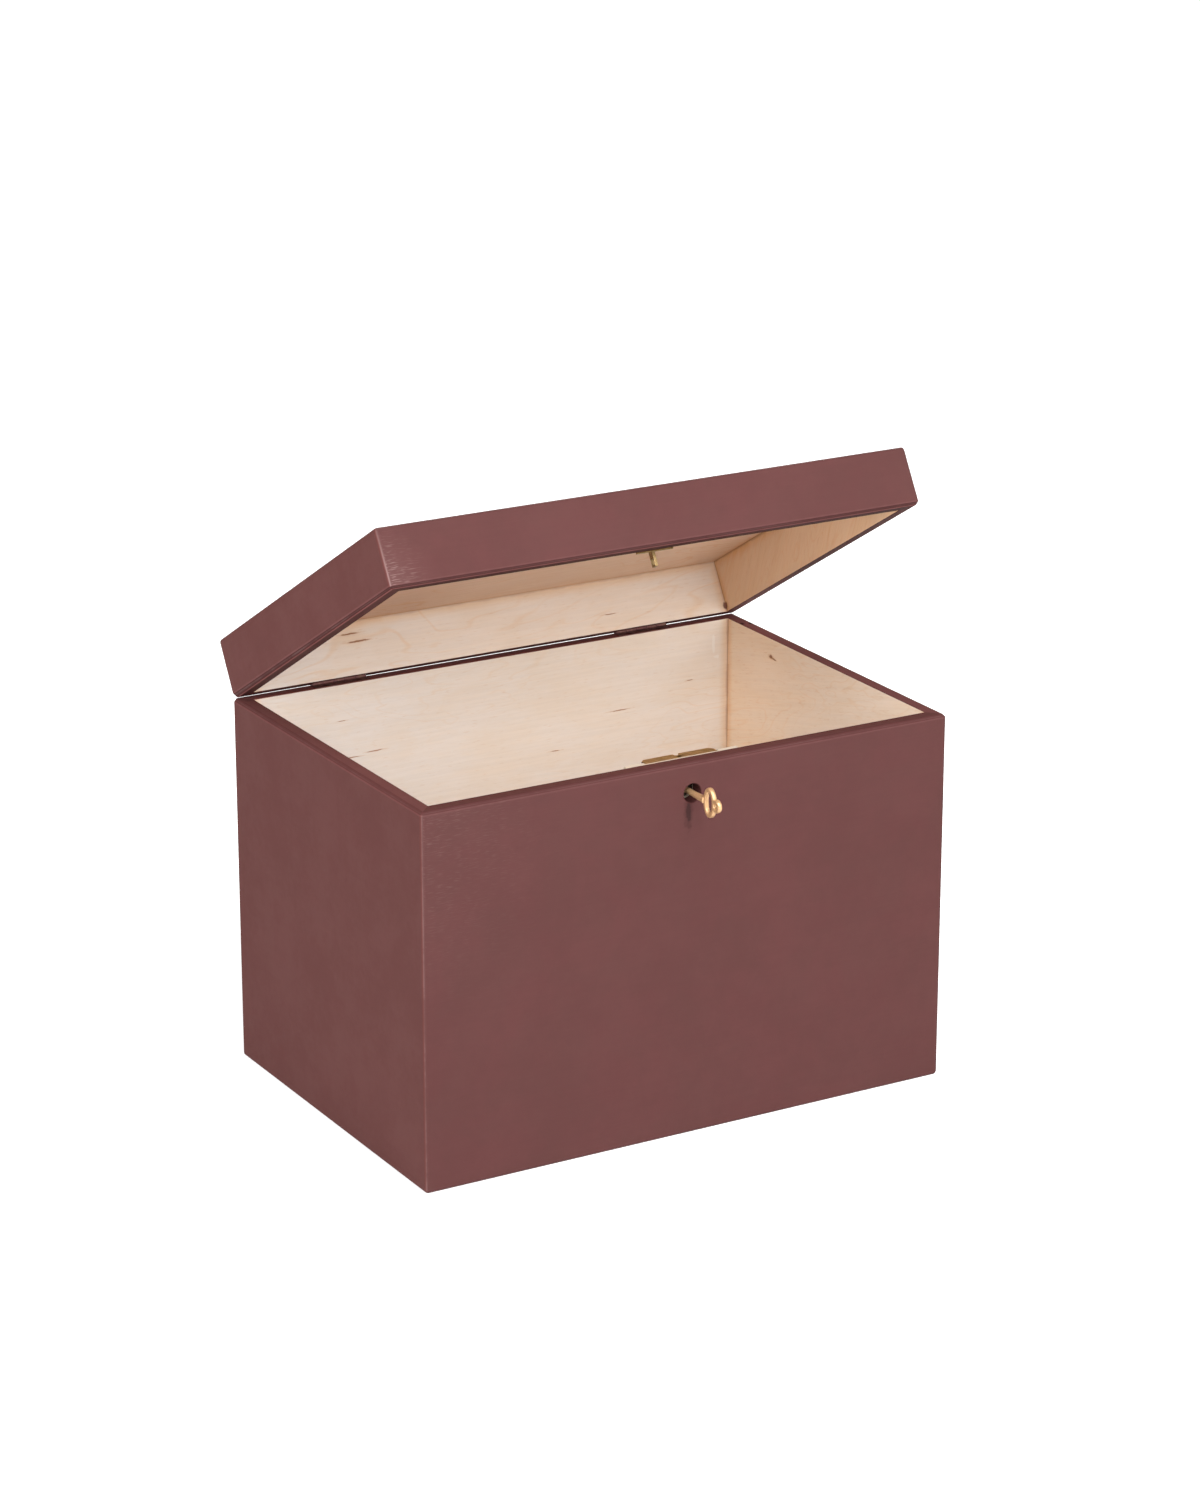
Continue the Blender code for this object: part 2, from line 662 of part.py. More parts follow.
def build_bolt():
    """The sliding bolt: a plate with a window for the key's bit, a foot, a post and the nose."""
    left = BOLT_THROW - BOLT_REACH
    top = FLANGE_UNDER - SEAT_GAP
    post = NOSE_TIP + BOLT_THROW + NOSE_SPARE
    talon_top = KEY_HEIGHT - SHANK_RADIUS - TALON_CLEAR
    talon_bottom = KEY_HEIGHT - BIT_SWEEP
    plate_left = left + SEAT_GAP
    plate_right = BOLT_REACH - SEAT_GAP
    plate_bottom = BOLT_BOTTOM + BOLT_FOOT / 2
    plate_top = top - SEAT_GAP
    outline = [
        (plate_left, plate_bottom), (plate_right, plate_bottom), (plate_right, plate_top), (post, plate_top),
        (post, NOSE_TOP), (NOSE_TIP, NOSE_TOP), (NOSE_TIP, NOSE_BOTTOM), (post, NOSE_BOTTOM),
        (post, SHOULDER), (plate_left, SHOULDER),
    ]
    half_talon = TALON_WIDTH / 2
    window = [(-half_talon, talon_bottom), (half_talon, talon_bottom), (half_talon, talon_top)]
    window += [(BOLT_THROW + BIT_SWEEP, talon_top)]
    window += arc(BOLT_THROW, KEY_HEIGHT, BIT_SWEEP, 0, 90, ARC_STEPS)
    window += arc(0, KEY_HEIGHT, BIT_SWEEP, 90, 180, ARC_STEPS)
    window += [(-BIT_SWEEP, talon_top), (-half_talon, talon_top)]
    bolt = flat_shape("lock_bolt", [outline, window], BOLT_THICKNESS)
    near = PLATE_FACE + SEAT_GAP - WORKS_MIDDLE
    far = CASE_INNER - SEAT_GAP - WORKS_MIDDLE
    join(bolt, box("bolt_foot", (left, near, BOLT_BOTTOM), (BOLT_REACH, far, BOLT_BOTTOM + BOLT_FOOT)))
    join(bolt, box("bolt_post", (post + LOOSE_GAP, near, SHOULDER - LOOSE_GAP), (BOLT_REACH, far, top)))
    for piece in [bolt] + [modifier.object for modifier in bolt.modifiers]:
        piece.location.y = WORKS_MIDDLE
    return place(bolt, parts, brass)


def build_lock(base):
    """The lock on its block, inside the front wall."""
    half = LOCK_HALF + BLOCK_PAST_LOCK
    block_low = (-half, BLOCK_BACK, LOCK_BOTTOM - BLOCK_UNDER_LOCK)
    block = place(box("lock_block", block_low, (half, BLOCK_FACE, LOCK_TOP)), parts, birch)
    hole_start = (0, BLOCK_BACK - OVERRUN, KEY_HEIGHT)
    hole_end = (0, BLOCK_FACE + OVERRUN, KEY_HEIGHT)
    cut(block, rod("block_keyhole", KEYHOLE_RADIUS, hole_start, hole_end, RING_STEPS))
    plate = build_lock_plate()
    build_lock_case()
    build_lock_spring()
    build_bolt()
    inset = 2 * LOCK_SCREW_HEAD
    rows = (LOCK_BOTTOM + inset, FLANGE_UNDER - inset)
    seats = [(side * LOCK_SCREW_X, SCREW_SEAT, z) for z in rows for side in (-1, 1)]
    for number, seat in enumerate(seats, start=1):
        dome_screw(f"lock_screw_{number}", seat)
        for target in (plate, block, base["front_panel"]):
            cut(target, dome_screw_hole(f"lock_screw_hole_{number}_in_{target.name}", seat))
    head_seat = CASE_FACE + SEAT_GAP
    pin = turned(
        "lock_key_pin",
        [
            (0, PIN_HEAD_HEIGHT), (PIN_HEAD_RADIUS - PIN_HEAD_HEIGHT, PIN_HEAD_HEIGHT), (PIN_HEAD_RADIUS, 0),
            (KEY_PIN_RADIUS, 0), (KEY_PIN_RADIUS, -KEY_PIN_LENGTH), (0, -KEY_PIN_LENGTH),
        ],
    )
    pin.location = (0, head_seat, KEY_HEIGHT)
    pin.rotation_euler = FACING_BACK
    place(shade_round(pin), parts, steel)


# Strike in the lid


def build_strike(lid):
    """The block, plate, prong and screws of the strike, as if the lid were shut."""
    half = STRIKE_WIDTH / 2
    top = LID_RIM + STRIKE_HEIGHT
    block_half = half + STRIKE_BLOCK_PAST_PLATE
    block_high = (block_half, BLOCK_FACE, top + STRIKE_BLOCK_PAST_PLATE)
    block = place(box("strike_block", (-block_half, BLOCK_BACK, LID_RIM), block_high), parts, birch)
    plate = box("strike_plate", (-half, PLATE_BACK, LID_RIM - STRIKE_PROUD), (half, PLATE_FACE, top))
    fin = PRONG_WIDTH / 2
    near = WORKS_MIDDLE - PRONG_DEPTH / 2
    far = WORKS_MIDDLE + PRONG_DEPTH / 2
    join(plate, box("prong_root", (-fin, PLATE_BACK + LOCK_SHEET / 2, LID_RIM), (fin, far, top - LOCK_SHEET)))
    join(plate, box("prong", (-fin, near, PRONG_TIP), (fin, far, LID_RIM + LOCK_SHEET)))
    eye_half = BOLT_THICKNESS / 2 + EYE_GAP
    eye_low = (-fin - OVERRUN, WORKS_MIDDLE - eye_half, PRONG_TIP + EYE_BAR)
    eye_high = (fin + OVERRUN, WORKS_MIDDLE + eye_half, NOSE_TOP + EYE_GAP)
    cut(plate, box("prong_eye", eye_low, eye_high))
    place(plate, parts, brass)
    moving = [block, plate]
    screw_x = half - LOCK_SCREW_HEAD - STRIKE_SCREW_MARGIN
    for name, side in (("strike_screw_left", -1), ("strike_screw_right", 1)):
        seat = (side * screw_x, SCREW_SEAT, LID_RIM + STRIKE_SCREW_RISE)
        moving.append(dome_screw(name, seat))
        for target in (plate, block, lid["lid_front_rail"]):
            cut(target, dome_screw_hole(f"{name}_hole_in_{target.name}", seat))
    return moving


# Key


def ring(name, half_height, half_length, wire, centre_y):
    """An oval ring of round wire in the YZ plane."""
    bpy.ops.mesh.primitive_torus_add(
        major_radius=half_height - wire,
        minor_radius=wire,
        major_segments=RING_STEPS,
        minor_segments=WIRE_STEPS,
    )
    obj = bpy.context.object
    obj.name = name
    squeeze = (half_length - wire) / (half_height - wire)
    stand = Matrix.Rotation(pi / 2, 4, "Y")
    narrow = Matrix.Diagonal((1, squeeze, 1, 1))
    obj.data.transform(Matrix.Translation((0, centre_y, 0)) @ narrow @ stand)
    return obj


def build_key():
    """The key, with its origin on its axis at the front face and its bit hanging down."""
    tip = CASE_INNER - KEY_TIP_GAP - FRONT
    pin_end = CASE_FACE + SEAT_GAP - KEY_PIN_LENGTH - FRONT
    bow_start = -SHANK_SHOWING
    bow_middle = bow_start - BOW_LENGTH / 2
    ring_middle = bow_start - BOW_LENGTH - BOW_RING_RADIUS + 2 * BOW_WIRE
    shank_end = (0, bow_start - BOW_WIRE, 0)
    key = rod("key", SHANK_RADIUS, (0, tip, 0), shank_end)
    bit_end = tip - KEY_TIP_GAP
    half_bit = BIT_THICKNESS / 2
    bit_low = (-half_bit, PLATE_FACE + BIT_SIDE_GAP - FRONT, -BIT_RADIUS)
    join(key, box("key_bit", bit_low, (half_bit, bit_end, -SHANK_RADIUS / 2)))
    join(key, ring("key_bow", BOW_HEIGHT / 2, BOW_LENGTH / 2, BOW_WIRE, bow_middle))
    join(key, ring("key_bow_tip", BOW_RING_RADIUS, BOW_RING_RADIUS, BOW_WIRE, ring_middle))
    bore_end = (0, pin_end - SEAT_GAP, 0)
    cut(key, rod("key_bore", KEY_PIN_RADIUS + RUNNING_GAP, (0, tip + OVERRUN, 0), bore_end))
    place(key, parts, brass)
    for piece in [key] + [modifier.object for modifier in key.modifiers]:
        piece.location = (0, FRONT, KEY_HEIGHT)
    return key


# Build

for old in list(bpy.data.objects):
    bpy.data.objects.remove(old)

parts = make_collection("envelope_box")
guides = make_collection("guides")
stain = make_material("mauve_brown_stain", (0.195, 0.076, 0.073), 0.55)
birch = make_material("raw_birch", (0.72, 0.55, 0.42), 0.6)
brass = make_material("polished_brass", (0.78, 0.53, 0.25), 0.25, 1.0)
hinge_metal = make_material("stained_hinge_brass", (0.14, 0.06, 0.055), 0.45, 0.6)
steel = make_material("steel", (0.55, 0.54, 0.52), 0.35, 1.0)

lid_pivot = bpy.data.objects.new("lid_pivot", None)
parts.objects.link(lid_pivot)
lid_pivot.location = HINGE_AXIS
lid_pivot.rotation_euler.x = -LID_OPEN

base_boards = build_base()
lid_boards = build_lid()
lid_fittings = build_hinges(base_boards, lid_boards)
build_lock(base_boards)
lid_fittings += build_strike(lid_boards)
hang_on_lid(*lid_boards.values(), *lid_fittings)
build_key()
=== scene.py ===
"""Envelope box: the looks of a stained wooden box with a hinged lid, a box lock and its key.

The file is laid out as an add-on and is run as a script. Each operator makes one piece, or a group of like
pieces, and sets it on the body that carries it. Lengths are in metres, with +Z up and the front facing -Y.
The lid's pieces are laid out as if the lid were shut, and OPENED then swings them to where the frame has
them.
"""

import json
from math import asin, copysign, cos, pi, radians, sin

import bmesh
import bpy
from bpy.props import FloatProperty, FloatVectorProperty, IntProperty, PointerProperty
from mathutils import Matrix, Vector


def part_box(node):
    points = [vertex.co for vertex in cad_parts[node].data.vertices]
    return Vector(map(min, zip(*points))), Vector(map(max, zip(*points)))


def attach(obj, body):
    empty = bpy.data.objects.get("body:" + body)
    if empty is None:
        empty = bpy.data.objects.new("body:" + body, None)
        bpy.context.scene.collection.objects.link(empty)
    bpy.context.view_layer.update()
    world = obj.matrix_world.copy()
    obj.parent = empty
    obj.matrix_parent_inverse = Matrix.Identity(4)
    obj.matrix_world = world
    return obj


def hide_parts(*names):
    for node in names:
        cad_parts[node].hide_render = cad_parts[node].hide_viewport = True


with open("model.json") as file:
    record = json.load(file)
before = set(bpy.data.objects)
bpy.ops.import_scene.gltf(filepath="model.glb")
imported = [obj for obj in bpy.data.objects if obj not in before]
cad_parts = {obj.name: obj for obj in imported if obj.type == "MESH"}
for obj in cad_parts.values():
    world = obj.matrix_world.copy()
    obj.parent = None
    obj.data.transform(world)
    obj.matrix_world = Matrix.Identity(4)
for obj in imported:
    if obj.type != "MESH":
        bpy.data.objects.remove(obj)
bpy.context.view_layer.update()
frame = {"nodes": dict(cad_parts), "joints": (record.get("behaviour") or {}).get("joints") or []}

bl_info = {
    "name": "Envelope Box",
    "version": (1, 0, 0),
    "blender": (4, 5, 0),
    "location": "3D View > Sidebar > Envelope Box",
    "description": "Dresses a stained wooden box with a hinged lid, a box lock and its key",
    "category": "Object",
}

# Joints of the frame
JOINTS = {joint["name"]: joint for joint in frame["joints"]}
HINGE_AXIS = Vector(JOINTS["lid_hinge"]["pos_m"])
KEY_AXIS = Vector(JOINTS["key_turn"]["pos_m"])
LID_OPEN = -radians(JOINTS["lid_hinge"]["range_deg"][0])
TO_HINGE = Matrix.Translation(HINGE_AXIS)
OPENED = TO_HINGE @ Matrix.Rotation(-LID_OPEN, 4, "X") @ TO_HINGE.inverted()
SHUT = OPENED.inverted()


def shut_box(node):
    """Lowest and highest corner of a node of the lid, as if the lid were shut."""
    points = [SHUT @ vertex.co for vertex in frame["nodes"][node].data.vertices]
    return Vector(map(min, zip(*points))), Vector(map(max, zip(*points)))


# Planes of the box
FRONT_LOW, FRONT_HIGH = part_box("front_panel")
LID_LOW, LID_HIGH = shut_box("lid_front_rail")
HALF_WIDTH = FRONT_HIGH.x
HALF_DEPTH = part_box("back_panel")[1].y
FRONT = FRONT_LOW.y
WALL = FRONT_HIGH.y - FRONT
BASE_HEIGHT = FRONT_HIGH.z
LID_RIM = LID_LOW.z
LID_TOP = LID_HIGH.z
INNER_X = HALF_WIDTH - WALL
INNER_Y = HALF_DEPTH - WALL

# Places on the box
HALF_SIZE = Vector((HALF_WIDTH, HALF_DEPTH, 0))
BASE_MIDDLE = Vector((0, 0, BASE_HEIGHT / 2))
BASE_HALF = HALF_SIZE + BASE_MIDDLE
LID_MIDDLE = Vector((0, 0, (LID_RIM + LID_TOP) / 2))
LID_HALF = HALF_SIZE + Vector((0, 0, (LID_TOP - LID_RIM) / 2))

# Hollows of the base and the lid, each taken far past its open side: middle, then half size
DEEP = 1.0
BOTTOM_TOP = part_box("bottom_panel")[1].z
CEILING = shut_box("lid_top_panel")[0].z
BASE_HOLLOW = (Vector((0, 0, BOTTOM_TOP + DEEP)), Vector((INNER_X, INNER_Y, DEEP)))
LID_HOLLOW = (Vector((0, 0, CEILING - DEEP)), Vector((INNER_X, INNER_Y, DEEP)))

# Dry-brushed places at the left front edge: place, reach, and how much of the pale wood shows there
BASE_BRUSH = (Vector((-HALF_WIDTH, -HALF_DEPTH, BASE_HEIGHT)), 0.120, 0.10)
LID_BRUSH = (Vector((-HALF_WIDTH, -HALF_DEPTH, LID_RIM)), 0.030, 0.6)

# How far a mark reaches into the wood
MARK_DEPTH = 0.0030

# Marks on the birch and the stain: place, then reach along X, Y and Z
BACK_WALL_MARKS = (
    ((-0.0708, INNER_Y, 0.1522), (0.0054, MARK_DEPTH, 0.00034)),
    ((-0.0830, INNER_Y, 0.1508), (0.0048, MARK_DEPTH, 0.00026)),
    ((0.0331, INNER_Y, 0.1344), (0.0034, MARK_DEPTH, 0.00028)),
    ((0.0719, INNER_Y, 0.1502), (0.0064, MARK_DEPTH, 0.00032)),
    ((0.1142, INNER_Y, 0.1597), (0.0022, MARK_DEPTH, 0.00026)),
    ((-0.0890, INNER_Y, 0.1709), (0.0028, MARK_DEPTH, 0.00022)),
)
BACK_WALL_SMEARS = (
    ((0.1285, INNER_Y, 0.1776), (0.0011, MARK_DEPTH, 0.0060)),
    ((0.1302, INNER_Y, 0.1700), (0.0020, MARK_DEPTH, 0.0012)),
)
RIGHT_WALL_MARKS = (
    ((INNER_X, 0.0490, 0.1802), (MARK_DEPTH, 0.0022, 0.00110)),
    ((INNER_X, 0.0460, 0.1796), (MARK_DEPTH, 0.0024, 0.00050)),
)
RIM_SPECKS = (
    ((0.1383, 0.0790, BASE_HEIGHT), (0.0012, 0.0016, 0.0020)),
    ((0.1424, 0.0770, BASE_HEIGHT), (0.0013, 0.0012, 0.0020)),
)
# Painted shadow of the key: a dark streak below the keyhole on the front
KEYHOLE_SHADOW = (((KEY_AXIS.x - 0.0022, FRONT, KEY_AXIS.z - 0.0092), (0.0018, MARK_DEPTH, 0.0068)),)
LID_CORNER_MARKS = (((INNER_X, INNER_Y, 0.1935), (0.0022, 0.0022, 0.0028)),)
LID_BACK_MARKS = (
    ((-0.0780, INNER_Y, 0.2113), (0.0062, MARK_DEPTH, 0.00044)),
    ((-0.0746, INNER_Y, 0.2070), (0.0072, MARK_DEPTH, 0.00052)),
    ((0.0689, INNER_Y, 0.1992), (0.0040, MARK_DEPTH, 0.00026)),
)

# Steps of round shapes and distances for meshes
CORNER_STEPS = 6
SOFT_STEPS = 3
TURN_STEPS = 48
SMALL_TURN_STEPS = 24
RING_STEPS = 64
SECTION_STEPS = 16
CURL_STEP = radians(15)
DOME_STEPS = 6
MERGE = 0.000001
OVERRUN = 0.001
SHARP_ANGLE = radians(48)
BEVEL_ANGLE = radians(40)
BEVEL_STEPS = 2
WEIGHT_OF_LARGE_FACES = 80
NODE_STEP = 180

# Lays a shape that was made along Z along Y
Z_TO_Y = Matrix.Rotation(-pi / 2, 4, "X")

# Densities of the patterns in the finishes, per metre, or along X, Y and Z
GRAIN_LINES = (26.0, 700.0, 700.0)
GREY_CLOUDS = 34.0
LIGHT_CLOUDS = 22.0
BRUSH_DASHES = (210.0, 2000.0, 2000.0)
BRUSH_CLUSTERS = 90.0
FIGURE_WAVES = (6.0, 17.0, 24.0)
FIGURE_PATCHES = (13.0, 26.0, 32.0)
BIRCH_FLECKS = (190.0, 1250.0, 1250.0)
BIRCH_CLOUDS = (26.0, 60.0, 70.0)
SEEP_WAVES = 90.0
MARK_RAGS = 420.0
TARNISH_CLOUDS = 420.0
RUBBING_LINES = (400.0, 400.0, 5200.0)

# Shift that keeps the light clouds apart from the grey ones
LIGHT_CLOUDS_SHIFT = (3.1, 1.7, 2.3)

# Proportions and strengths of the patterns
FIGURE_FOLDS = 16.0
MARK_RAG_SHARES = (0.8, 0.8, 1.3)
MARK_HALO_REACH = 1.7
MARK_HALO_SHARE = 0.6
MARK_INK_SHARE = 0.9
BRUSH_SQUASH = (1.0, 1.0, 0.7)
BRUSH_HAZE = 0.12
FLECK_SHARE = 0.4
TARNISH_SHARE = 0.55

# Wear of the stain: distances from the edge where it starts and where it is full
EDGE_WEAR = (0.0011, 0.0003)
BRUSHED_WEAR = (0.0016, 0.0004)

# Birch: how far before the middle an end tone starts, reach of the painted shade in the corners, widths of
# the seep
END_TONE_START = 0.02
CORNER_SHADE = 0.006
SEEP_WIDTH = (0.0008, 0.0017)

# Gloss, roughness from the darkest to the lightest clouds or lines, and relief as depth and strength
FACE_GLOSS = 0.08
RIM_GLOSS = 0.03
BIRCH_GLOSS = 0.25
STAIN_ROUGHNESS = (0.66, 0.58)
BIRCH_ROUGHNESS = (0.66, 0.56)
WOOD_RELIEF = (0.00002, 0.3)
METAL_RELIEF = (0.000008, 0.5)

PIECES = "envelope_box"
STUDIO = "studio"


# Properties


def length(name, description, default):
    """A length that a user would change."""
    return FloatProperty(
        name=name, description=description, default=default, min=0.0, unit="LENGTH", precision=5
    )


def ratio(name, description, default):
    """A plain ratio that a user would change."""
    return FloatProperty(name=name, description=description, default=default, min=0.0)


def power(name, description, default):
    """The power of a light."""
    return FloatProperty(name=name, description=description, default=default, min=0.0, unit="POWER")


def colour(name, description, default):
    """A scene-linear colour that a user would change."""
    return FloatVectorProperty(
        name=name, description=description, default=default, subtype="COLOR", size=3, min=0.0, max=1.0
    )


class EnvelopeBoxSizes(bpy.types.PropertyGroup):
    """Sizes of the edges and fittings."""

    corner_round: length("Corner round", "Rounding of the outer corners and the foot", 0.0020)
    rim_chamfer: length("Rim chamfer", "Width of the chamfer round the rims", 0.0016)
    back_lip: length("Back lip", "How far the lid's back rim stands below its other rims", 0.00092)
    left_fill: length("Left fill", "How much fuller the back rims are at their left end", 0.00050)
    right_fill: length("Right fill", "How much fuller the back rims are at their right end", 0.00025)
    edge_softness: length("Edge softness", "Sanding of the edges of the rim", 0.00040)
    inner_softness: length("Inner softness", "Sanding of the rim's inner edge", 0.00022)
    inner_corner: length("Inner corner", "Round of the corners inside", 0.00010)
    lid_skin: length("Lid skin", "Stained skin over the lid's board", 0.00040)
    keyhole_flare: length("Keyhole flare", "Sanding of the keyhole's edge", 0.00035)
    keyhole_radius: length("Keyhole radius", "Radius of the hole in the front", 0.00475)
    board_softness: length("Board softness", "Sanding of the inner boards and blocks", 0.00030)
    knuckle_count: IntProperty(name="Knuckles", description="Knuckles of a hinge", default=5, min=3)
    leaf_thickness: length("Leaf thickness", "Sheet of the hinge leaves", 0.0008)
    hinge_pin_radius: length("Hinge pin radius", "Radius of the hinge pins", 0.00075)
    pin_room: length("Pin room", "Room between a pin and its knuckles", 0.0002)
    seat_gap: length("Seat gap", "Gap between pieces that touch", 0.0003)
    sheet: length("Lock sheet", "Sheet of the lock and the strike", 0.0010)
    flange_drop: length("Flange drop", "How far the lock's flange lies below the block", 0.00012)
    block_end: length("Block end", "Depth of the lock block's ends, beside the plate", 0.0037)
    flange_corner: length("Flange corner", "Cut-off corners of the lock's flange", 0.0022)
    metal_softness: length("Metal softness", "Rounding of the brass edges", 0.00013)
    case_round: length("Case round", "Rounding of the lock's case", 0.0012)
    case_wall: length("Case wall", "Sheet of the lock's case", 0.0008)
    screw_slot: length("Screw slot", "Width and depth of the screw slots", 0.0004)
    prong_width: length("Prong width", "Width of the strike's prong", 0.0016)
    prong_depth: length("Prong depth", "Depth of the strike's prong, front to back", 0.0034)
    prong_room: length("Prong room", "Room beside the prong in the lock's flange", 0.0007)
    eye_cheek: length("Eye cheek", "Metal before and behind the prong's eye", 0.00055)
    eye_bar: length("Eye bar", "Metal under the prong's eye", 0.0010)
    eye_height: length("Eye height", "Height of the prong's eye", 0.0028)
    bow_width: length("Bow width", "Width of the key's bow, in its plane", 0.0021)
    bow_thickness: length("Bow thickness", "Thickness of the key's bow", 0.0023)
    bow_height: length("Bow height", "Height of the key's oval bow", 0.0148)
    bow_length: length("Bow length", "Length of the key's oval bow", 0.0096)
    bow_squareness: ratio("Bow squareness", "Section of the bow's wire: 1 is round and 0 is square", 0.6)
    tip_ring_radius: length("Tip ring radius", "Outer radius of the small ring at the key's end", 0.0033)
    shank_radius: length("Shank radius", "Radius of the key's shank", 0.0015)
    neck_radius: length("Neck radius", "Radius of the key's shank at the bow", 0.0018)
    bore_depth: length("Bore depth", "Depth of the hole in the key's shank", 0.0080)
    bit_thickness: length("Bit thickness", "Thickness of the key's bit", 0.0013)
    bit_length: length("Bit length", "Length of the key's bit, along the shank", 0.0032)
    bit_reach: length("Bit reach", "How far the key's bit reaches from its axis", 0.0045)


class EnvelopeBoxColours(bpy.types.PropertyGroup):
    """Colours of the finishes."""

    front_red: colour("Front, red", "Redder patches of the stain in front", (0.0818, 0.0294, 0.0283))
    front_grey: colour("Front, grey", "Greyer patches of the stain in front", (0.0782, 0.03, 0.0282))
    side_red: colour("Side, red", "Redder patches of the stain on the sides", (0.102, 0.0339, 0.0307))
    side_grey: colour("Side, grey", "Greyer patches of the stain on the sides", (0.101, 0.0342, 0.0307))
    edge_front: colour("Edge, front", "Stain rubbed thin on the front and back rims", (0.094, 0.036, 0.0345))
    edge_side: colour("Edge, sides", "Stain rubbed thin along the side rims", (0.127, 0.0445, 0.0415))
    stain_pale: colour("Stain, pale", "Pale wood that shows through the stain", (0.34, 0.225, 0.215))
    chamfer_front: colour("Chamfer, front", "Stain on the front and back chamfers", (0.072, 0.0258, 0.0246))
    chamfer_side: colour("Chamfer, sides", "Stain on the side chamfers", (0.088, 0.0305, 0.0285))
    flat_front: colour("Rim, front", "Stain on the front and back rims", (0.083, 0.0298, 0.027))
    flat_side: colour("Rim, sides", "Stain on the side rims", (0.113, 0.0415, 0.0388))
    # The speck colour also paints shade: the shadow below the key and the upper part of the block's keyhole;
    # its halo rings the specks and that shadow
    speck_and_shade: colour("Speck", "Dark specks and runs of the stain", (0.035, 0.0138, 0.013))
    speck_and_shade_halo: colour("Speck halo", "Tint round the dark specks and runs", (0.62, 0.6, 0.6))
    spot: colour("Stain spot", "Spots of stain on the birch", (0.17, 0.065, 0.05))
    smear: colour("Smear", "Pale smears on the birch", (0.8, 0.74, 0.68))
    birch_back: colour("Birch, back", "Raw birch of the front and back walls", (0.755, 0.675, 0.605))
    birch_back_left: colour("Birch, back, left", "Raw birch of these walls at the left", (0.765, 0.72, 0.685))
    birch_side: colour("Birch, sides", "Raw birch of the side walls", (0.755, 0.64, 0.535))
    birch_side_back: colour("Birch, sides, back", "Raw birch of these walls at the back", (0.92, 0.755, 0.6))
    birch_lid_back: colour("Birch, lid back", "Raw birch of the lid's long rails", (0.79, 0.69, 0.605))
    birch_lid_left: colour("Birch, lid left", "Raw birch of these rails at the left", (0.8, 0.745, 0.695))
    birch_lid_side: colour("Birch, lid sides", "Raw birch of the lid's side rails", (0.79, 0.57, 0.395))
    birch_board: colour("Birch, lid board", "Raw birch of the lid's board", (0.72, 0.528, 0.4))
    birch_board_left: colour("Birch, board left", "Raw birch of the board at the left", (0.51, 0.31, 0.218))
    birch_bottom: colour("Birch, bottom", "Raw birch of the bottom board", (0.8, 0.69, 0.59))
    birch_block: colour("Birch, blocks", "Raw birch of the blocks", (0.5, 0.42, 0.34))
    birch_warm: colour("Birch clouds", "Tint of the warmer parts of the birch", (0.99, 0.955, 0.905))
    # This tint also darkens the birch in the corners inside, as painted shade
    birch_figure_and_shade: colour("Birch figure", "Tint of the birch's wavy figure", (0.955, 0.83, 0.69))
    birch_fleck: colour("Birch fleck", "Tint of the birch's short flecks", (0.86, 0.73, 0.6))
    birch_mark: colour("Birch mark", "Dashes and small knots", (0.28, 0.115, 0.055))
    seep: colour("Seep", "Stain that ran into the joints", (0.26, 0.105, 0.075))
    # Painted light and shade on the lid: its faces lighter, its downward-facing rims and chamfers darker
    lid_painted_light: ratio("Lid lift", "How much lighter the lid's stain is than the base's", 1.05)
    lid_rim_painted_shade: ratio("Lid rim", "How light the lid's rims are next to the base's", 0.58)
    lid_chamfer_painted_shade: ratio("Lid chamfer", "How light the lid's chamfers are next to the base's", 0.72)
    # Painted highlight along the lid's rim crests, over stain rubbed thin
    crest_painted_highlight: ratio("Crest", "How much lighter the lid's rims are along their chamfers", 1.5)
    # Painted light on the back rims, and on the right rims towards the back, where the lid shades them
    back_rim_painted_light: ratio("Back rim", "How much lighter the base's back rim is than the front one", 2.4)
    lid_back_rim_painted_light: ratio("Lid back rim", "How much lighter the lid's back rim is than the front one", 2.0)
    right_rim_painted_light: ratio("Right rims", "How much lighter the right rims are at the back", 2.0)
    brass: colour("Brass", "Satin brass of the key", (0.65, 0.4, 0.203))
    brass_dull: colour("Dull brass", "Duller patches of the key", (0.53, 0.308, 0.146))
    lock_brass: colour("Lock brass", "Aged brass of the lock", (0.52, 0.36, 0.165))
    lock_dull: colour("Dull lock brass", "Duller patches of the lock", (0.42, 0.285, 0.13))
    # The strike's brass is darkened as painted shade on the prong
    strike: colour("Strike", "Darker brass of the strike", (0.3, 0.205, 0.095))
    strike_dull: colour("Dull strike", "Duller patches of the strike", (0.13, 0.085, 0.04))
    # The lock works colours paint the plate's sheet below the flange dark, as shade behind the keyhole
    works: colour("Lock works", "Dark metal inside the lock", (0.06, 0.045, 0.03))
    works_dull: colour("Dull works", "Darker patches inside the lock", (0.03, 0.022, 0.016))
    hinge: colour("Hinge", "Stained hinge brass", (0.156, 0.06, 0.055))
    hinge_bare: colour("Hinge, bare", "Rubbed hinge brass", (0.3, 0.17, 0.11))
    steel: colour("Steel", "Plain steel", (0.56, 0.55, 0.53))
    steel_dull: colour("Dull steel", "Darker patches of the steel", (0.26, 0.25, 0.235))
    floor: colour("Floor", "Plain pale floor", (0.9, 0.9, 0.9))


